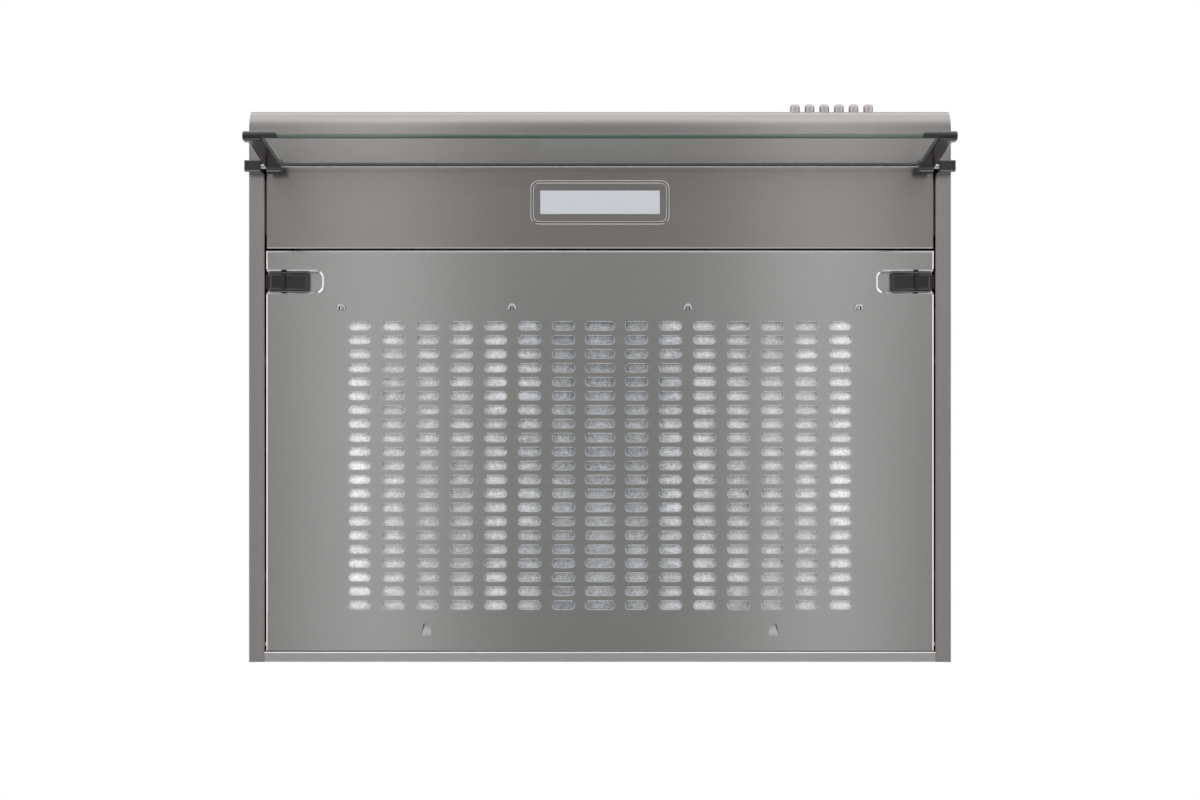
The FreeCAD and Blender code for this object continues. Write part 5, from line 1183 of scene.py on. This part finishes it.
for side, name in ((1, "right"), (-1, "left")):
    low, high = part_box("filter_wire_" + name)
    outer = side * (wire_high.x - WIRE_RADIUS)
    inner_x = side * (wire_low.x + WIRE_RADIUS)
    height = high.z - WIRE_RADIUS
    front_y = low.y + WIRE_RADIUS
    rear_y = high.y - WIRE_RADIUS
    bm = bmesh.new()
    start = Vector((outer, front_y, UNDERSIDE_Z))
    loop = ring_at(bm, start, WIRE_RADIUS, WIRE_STEPS, Matrix.Identity(4))
    foot = loop[:]
    loop = pull_loop(bm, loop, (0, 0, height - UNDERSIDE_Z - FOOT_BEND))
    loop = spin_loop(bm, loop, (outer, front_y + FOOT_BEND, height - FOOT_BEND), -ALONG_X, 90)
    loop = pull_loop(bm, loop, (0, rear_y - BEND - front_y - FOOT_BEND, 0))
    loop = spin_loop(bm, loop, (outer - side * BEND, rear_y - BEND, height), ALONG_Z, side * 90)
    loop = pull_loop(bm, loop, (inner_x - outer + side * 2 * BEND, 0, 0))
    loop = spin_loop(bm, loop, (inner_x + side * BEND, rear_y - BEND, height), ALONG_Z, side * 90)
    loop = pull_loop(bm, loop, (0, front_y + FOOT_BEND - rear_y + BEND, 0))
    loop = spin_loop(bm, loop, (inner_x, front_y + FOOT_BEND, height - FOOT_BEND), ALONG_X, 90)
    loop = pull_loop(bm, loop, (0, 0, UNDERSIDE_Z + FOOT_BEND - height))
    for end, x in ((foot, outer), (loop, inner_x)):
        for vert in points_of(end):
            vert.co.x = x + (vert.co.x - x) * FOOT_SHARE
        bmesh.ops.contextual_create(bm, geom=end)
    bmesh.ops.remove_doubles(bm, verts=bm.verts, dist=0.005 * MM)
    bmesh.ops.recalc_face_normals(bm, faces=bm.faces)
    keep("wire_" + name, bm, [drawn_wire], "grille", ["filter_wire_" + name])

# %% [markdown]
# ## Latches
# Each slider is an acetal block with a moulded border and a wedge-shaped thumb rib. The block is a box with
# its lower face inset and sunk a little, which leaves the border standing.

# %% Latches
RIB_FROM_END = 12.2 * MM
RIB_FRONT = 4.6 * MM
RIB_CREST = 0.8
RIB_POINT = 1.7 * MM
RIB_PROUD = 2.4 * MM
BODY_LENGTH = 34 * MM
BODY_WIDTH = 15.4 * MM
BODY_TOP = 5.7 * MM
TONGUE_WIDTH = 12 * MM
TONGUE_HEIGHT = 2.2 * MM
SLIDER_FACE = 0.5 * MM
# how far in and how far down each step of the border goes, in millimetres
BORDER_STEPS = ((0.9, 0.0), (0.7, 0.48), (0.3, 0.0), (0.5, -0.35))
SLIDER_CORNER = 0.8 * MM
SLIDER_ROUND = 0.3 * MM
RIB_SHORTER = 0.6 * MM
RIB_ROOT = 1.5 * MM
STEM_HALF = (5 * MM, 2.5 * MM)
SUNK = 0.5 * MM


def box_of(bm, low, high):
    """A box between two corners."""
    made = bmesh.ops.create_cube(bm, size=1.0)
    bmesh.ops.scale(bm, verts=made["verts"], vec=Vector(high) - Vector(low))
    bmesh.ops.translate(bm, verts=made["verts"], vec=(Vector(high) + Vector(low)) / 2)
    return made["verts"]


def upright_edges(verts, choose):
    """The edges of a box that stand along Z, where choose picks both ends."""
    return [edge for edge in edges_of(verts) if all(choose(vert) for vert in edge.verts)
            and abs(edge.verts[0].co.z - edge.verts[1].co.z) > 1 * MM]


def to_its_side(bm, side):
    """Mirrors a right-hand piece if it is for the left, and points its faces outwards."""
    if side < 0:
        bmesh.ops.scale(bm, verts=bm.verts, vec=(-1, 1, 1))
    bmesh.ops.recalc_face_normals(bm, faces=bm.faces)


for side, name in ((1, "right"), (-1, "left")):
    low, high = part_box("latch_" + name)
    middle_y = (low.y + high.y) / 2
    tongue_end = high.x if side > 0 else -low.x
    inner_end = low.x if side > 0 else -high.x
    bm = bmesh.new()
    body = box_of(bm, (inner_end, middle_y - BODY_WIDTH / 2, UNDERSIDE_Z),
                  (inner_end + BODY_LENGTH, middle_y + BODY_WIDTH / 2, UNDERSIDE_Z + BODY_TOP))
    corners = upright_edges(body, lambda vert: vert.co.x < inner_end + NEAR)
    bm.normal_update()
    lower = min(bm.faces, key=lambda face: face.calc_center_median().z)
    bmesh.ops.translate(bm, verts=lower.verts[:], vec=(0, 0, SLIDER_FACE))
    for inwards, down in BORDER_STEPS:
        bmesh.ops.inset_individual(bm, faces=[lower], thickness=inwards * MM, use_even_offset=True)
        bmesh.ops.translate(bm, verts=lower.verts[:], vec=(0, 0, -down * MM))
    round_off(bm, corners, SLIDER_CORNER, 3)
    rib_x = inner_end + BODY_LENGTH - RIB_FROM_END
    rib_half = BODY_WIDTH / 2 - RIB_SHORTER
    rib = box_of(bm, (rib_x - RIB_FRONT / 2, middle_y - rib_half, UNDERSIDE_Z - RIB_PROUD),
                 (rib_x + RIB_FRONT / 2, middle_y + rib_half, UNDERSIDE_Z + RIB_ROOT))
    for vert in rib:
        vert.co.x = rib_x + (vert.co.x - rib_x) * (RIB_CREST if vert.co.z < UNDERSIDE_Z else 1.0)
    round_off(bm, upright_edges(rib, lambda vert: vert.co.y > middle_y), RIB_POINT)
    tongue_top = UNDERSIDE_Z + BODY_TOP
    box_of(bm, (inner_end + BODY_LENGTH - 1 * MM, middle_y - TONGUE_WIDTH / 2, tongue_top - TONGUE_HEIGHT),
           (tongue_end, middle_y + TONGUE_WIDTH / 2, tongue_top))
    stem_x = inner_end + BODY_LENGTH / 2
    box_of(bm, (stem_x - STEM_HALF[0], middle_y - STEM_HALF[1], tongue_top - SUNK),
           (stem_x + STEM_HALF[0], middle_y + STEM_HALF[1], high.z))
    soften(bm, SLIDER_ROUND)
    to_its_side(bm, side)
    keep("slider_" + name, bm, [black_acetal], "latch_" + name, ["latch_" + name])

# %% [markdown]
# ## Visor
# The pane is 4 mm float glass with ground arrises. Its large faces are clear and its lower edge shows the
# green of a long way through glass. The arrises along the lower edge and the upper front one are painted
# near black, a painted shade, and the other arrises a pale grey, a painted highlight. The pane is turned
# upright about its pivot while its faces are told apart, and then turned back by the visor's lean.

# %% Glass pane
VISOR_LEAN = math.radians(8)
ARRIS = 0.6 * MM
FRONT_ARRIS = 1.1 * MM
pin_low, pin_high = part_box("visor_pin_right")
PIVOT = Vector((0, (pin_low.y + pin_high.y) / 2, (pin_low.z + pin_high.z) / 2))
UPRIGHT = Matrix.Rotation(VISOR_LEAN, 3, "X")
LEANING = Matrix.Rotation(-VISOR_LEAN, 3, "X")

bm = merged_copy("visor_glass")
bmesh.ops.rotate(bm, verts=bm.verts, cent=PIVOT, matrix=UPRIGHT)
pane_foot = min(vert.co.z for vert in bm.verts)
pane_top = max(vert.co.z for vert in bm.verts)
pane_front = min(vert.co.y for vert in bm.verts)


def at_top_front(edge):
    """Whether an edge of the upright pane is its upper front one."""
    return all(vert.co.z > pane_top - NEAR and vert.co.y < pane_front + NEAR for vert in edge.verts)


soften(bm, ARRIS, 2, lambda edge: not at_top_front(edge))
soften(bm, FRONT_ARRIS, 1, at_top_front)
bm.normal_update()
# The arrises at the foot and the upper front one are painted dark as shade; the others pale as a highlight.
for face in bm.faces:
    flat = max(abs(face.normal.x), abs(face.normal.y), abs(face.normal.z)) > 0.999
    spot = face.calc_center_median()
    if flat:
        face.material_index = 1 if face.normal.z < -0.99 else 0
    elif spot.z < pane_foot + 1 * MM or (face.normal.y < -0.3 and face.normal.z > 0.3):
        face.material_index = 2
    else:
        face.material_index = 3
bmesh.ops.rotate(bm, verts=bm.verts, cent=PIVOT, matrix=LEANING)
keep("glass_pane", bm, [float_glass, glass_edge, arris_painted_dark, arris_painted_pale], "visor", ["visor_glass"])

# %% [markdown]
# The pivot blocks are squarer than the frame's plain ones. Their lower rear edge has the largest radius
# and mirrors the lamp behind the hood as a light band. The pins are turned: thin where they cross from
# the block to the arm, and thicker inside both.

# %% Arms, pivot blocks and pins
ARM_ROUND = 0.6 * MM
PIN_NECK = 2.1 * MM
PIN_BODY = 2.7 * MM
BLOCK_FRONT = (1.0 * MM, 5)     # radius and steps of its lower edges
BLOCK_REAR = (1.7 * MM, 1)
BLOCK_ROUND = 0.35 * MM


def along_x(edges):
    """The edges that run along X."""
    return [edge for edge in edges if abs(edge.verts[0].co.x - edge.verts[1].co.x) > 1 * MM]


TO_X = Matrix.Rotation(math.pi / 2, 4, "Y")
arm_low, arm_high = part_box("visor_arm_right")
block_low, block_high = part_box("visor_bracket_right")
PIN_STEPS = ((pin_low.x, PIN_NECK), (pin_low.x + 0.5 * MM, PIN_BODY), (arm_high.x - 0.4 * MM, PIN_BODY),
             (arm_high.x, PIN_NECK), (block_low.x, PIN_NECK), (block_low.x + 0.4 * MM, PIN_BODY),
             (pin_high.x - 0.5 * MM, PIN_BODY), (pin_high.x, PIN_NECK))

for side, name in ((1, "right"), (-1, "left")):
    softened("visor_arm_" + name, "arm_" + name, ARM_ROUND, black_nylon, "visor", 3)
    bm = bmesh.new()
    box_of(bm, block_low, block_high)
    low_ones = [edge for edge in along_x(bm.edges) if edge.verts[0].co.z < block_low.z + NEAR]
    for edge in sorted(low_ones, key=lambda edge: edge.verts[0].co.y):
        round_off(bm, [edge], *(BLOCK_FRONT if edge.verts[0].co.y < PIVOT.y else BLOCK_REAR))
    soften(bm, BLOCK_ROUND, 2, lambda edge: all(vert.co.z < block_high.z - NEAR for vert in edge.verts))
    to_its_side(bm, side)
    keep("pivot_block_" + name, bm, [black_nylon], "hood", ["visor_bracket_" + name])
    bm = bmesh.new()
    lathe_rings(bm, [(PIVOT + ALONG_X * side * x, radius) for x, radius in PIN_STEPS], TO_X)
    keep("pivot_pin_" + name, bm, [turned_steel], "visor", ["visor_pin_" + name])

# %% [markdown]
# The corner clips are short barrels lying across the arms' ends, each with a finger under the pane. They
# are modelled upright below the pivot, where every side is square, and then turned about the pivot by
# the visor's lean, as the frame's own solids were.

# %% Corner clips
clip_low, clip_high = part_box("visor_clip_right")
CLIP_FOOT = PIVOT.z - 91 * MM
CLIP_HEIGHT = 11 * MM
CLIP_HALF = 3.75 * MM
FINGER_HALF = 2.2 * MM
FINGER_RISE = (0.4 * MM, 2.9 * MM)
FINGER_REACH = 1.2 * MM
FINGER_ROUND = 0.5 * MM
BARREL_OVER = 0.6 * MM
BARREL_UPPER = 1.5 * MM
BARREL_END = 0.9 * MM
BARREL_FLAT = 0.15 * MM

for side, name in ((1, "right"), (-1, "left")):
    bm = bmesh.new()
    box_of(bm, (arm_low.x + BARREL_OVER, PIVOT.y - CLIP_HALF, CLIP_FOOT),
           (clip_high.x, PIVOT.y + CLIP_HALF, CLIP_FOOT + CLIP_HEIGHT))
    long_edges = along_x(bm.edges)
    lower = [edge for edge in long_edges if edge.verts[0].co.z < CLIP_FOOT + 1 * MM]
    upper = [edge for edge in long_edges if edge not in lower]
    round_off(bm, lower, CLIP_HALF - BARREL_FLAT, 8)
    round_off(bm, [edge for edge in upper if edge.is_valid], BARREL_UPPER, 4)
    soften(bm, BARREL_END, 4, lambda edge: all(vert.co.x > clip_high.x - 2 * NEAR for vert in edge.verts))
    finger = box_of(bm, (clip_low.x, PIVOT.y - FINGER_HALF, CLIP_FOOT + FINGER_RISE[0]),
                    (arm_low.x + FINGER_REACH, PIVOT.y + FINGER_HALF, CLIP_FOOT + FINGER_RISE[1]))
    round_off(bm, edges_of(finger), FINGER_ROUND, 3)
    bmesh.ops.rotate(bm, verts=bm.verts, cent=PIVOT, matrix=LEANING)
    to_its_side(bm, side)
    keep("corner_clip_" + name, bm, [black_acetal], "visor", ["visor_clip_" + name])

# %% [markdown]
# ## Closing
# The dressed object's box is printed.

# %% The dressed box and the view transform
low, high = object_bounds()
print("dressed", [round(v, 4) for v in low], [round(v, 4) for v in high])
bpy.context.scene.view_settings.view_transform = "Standard"
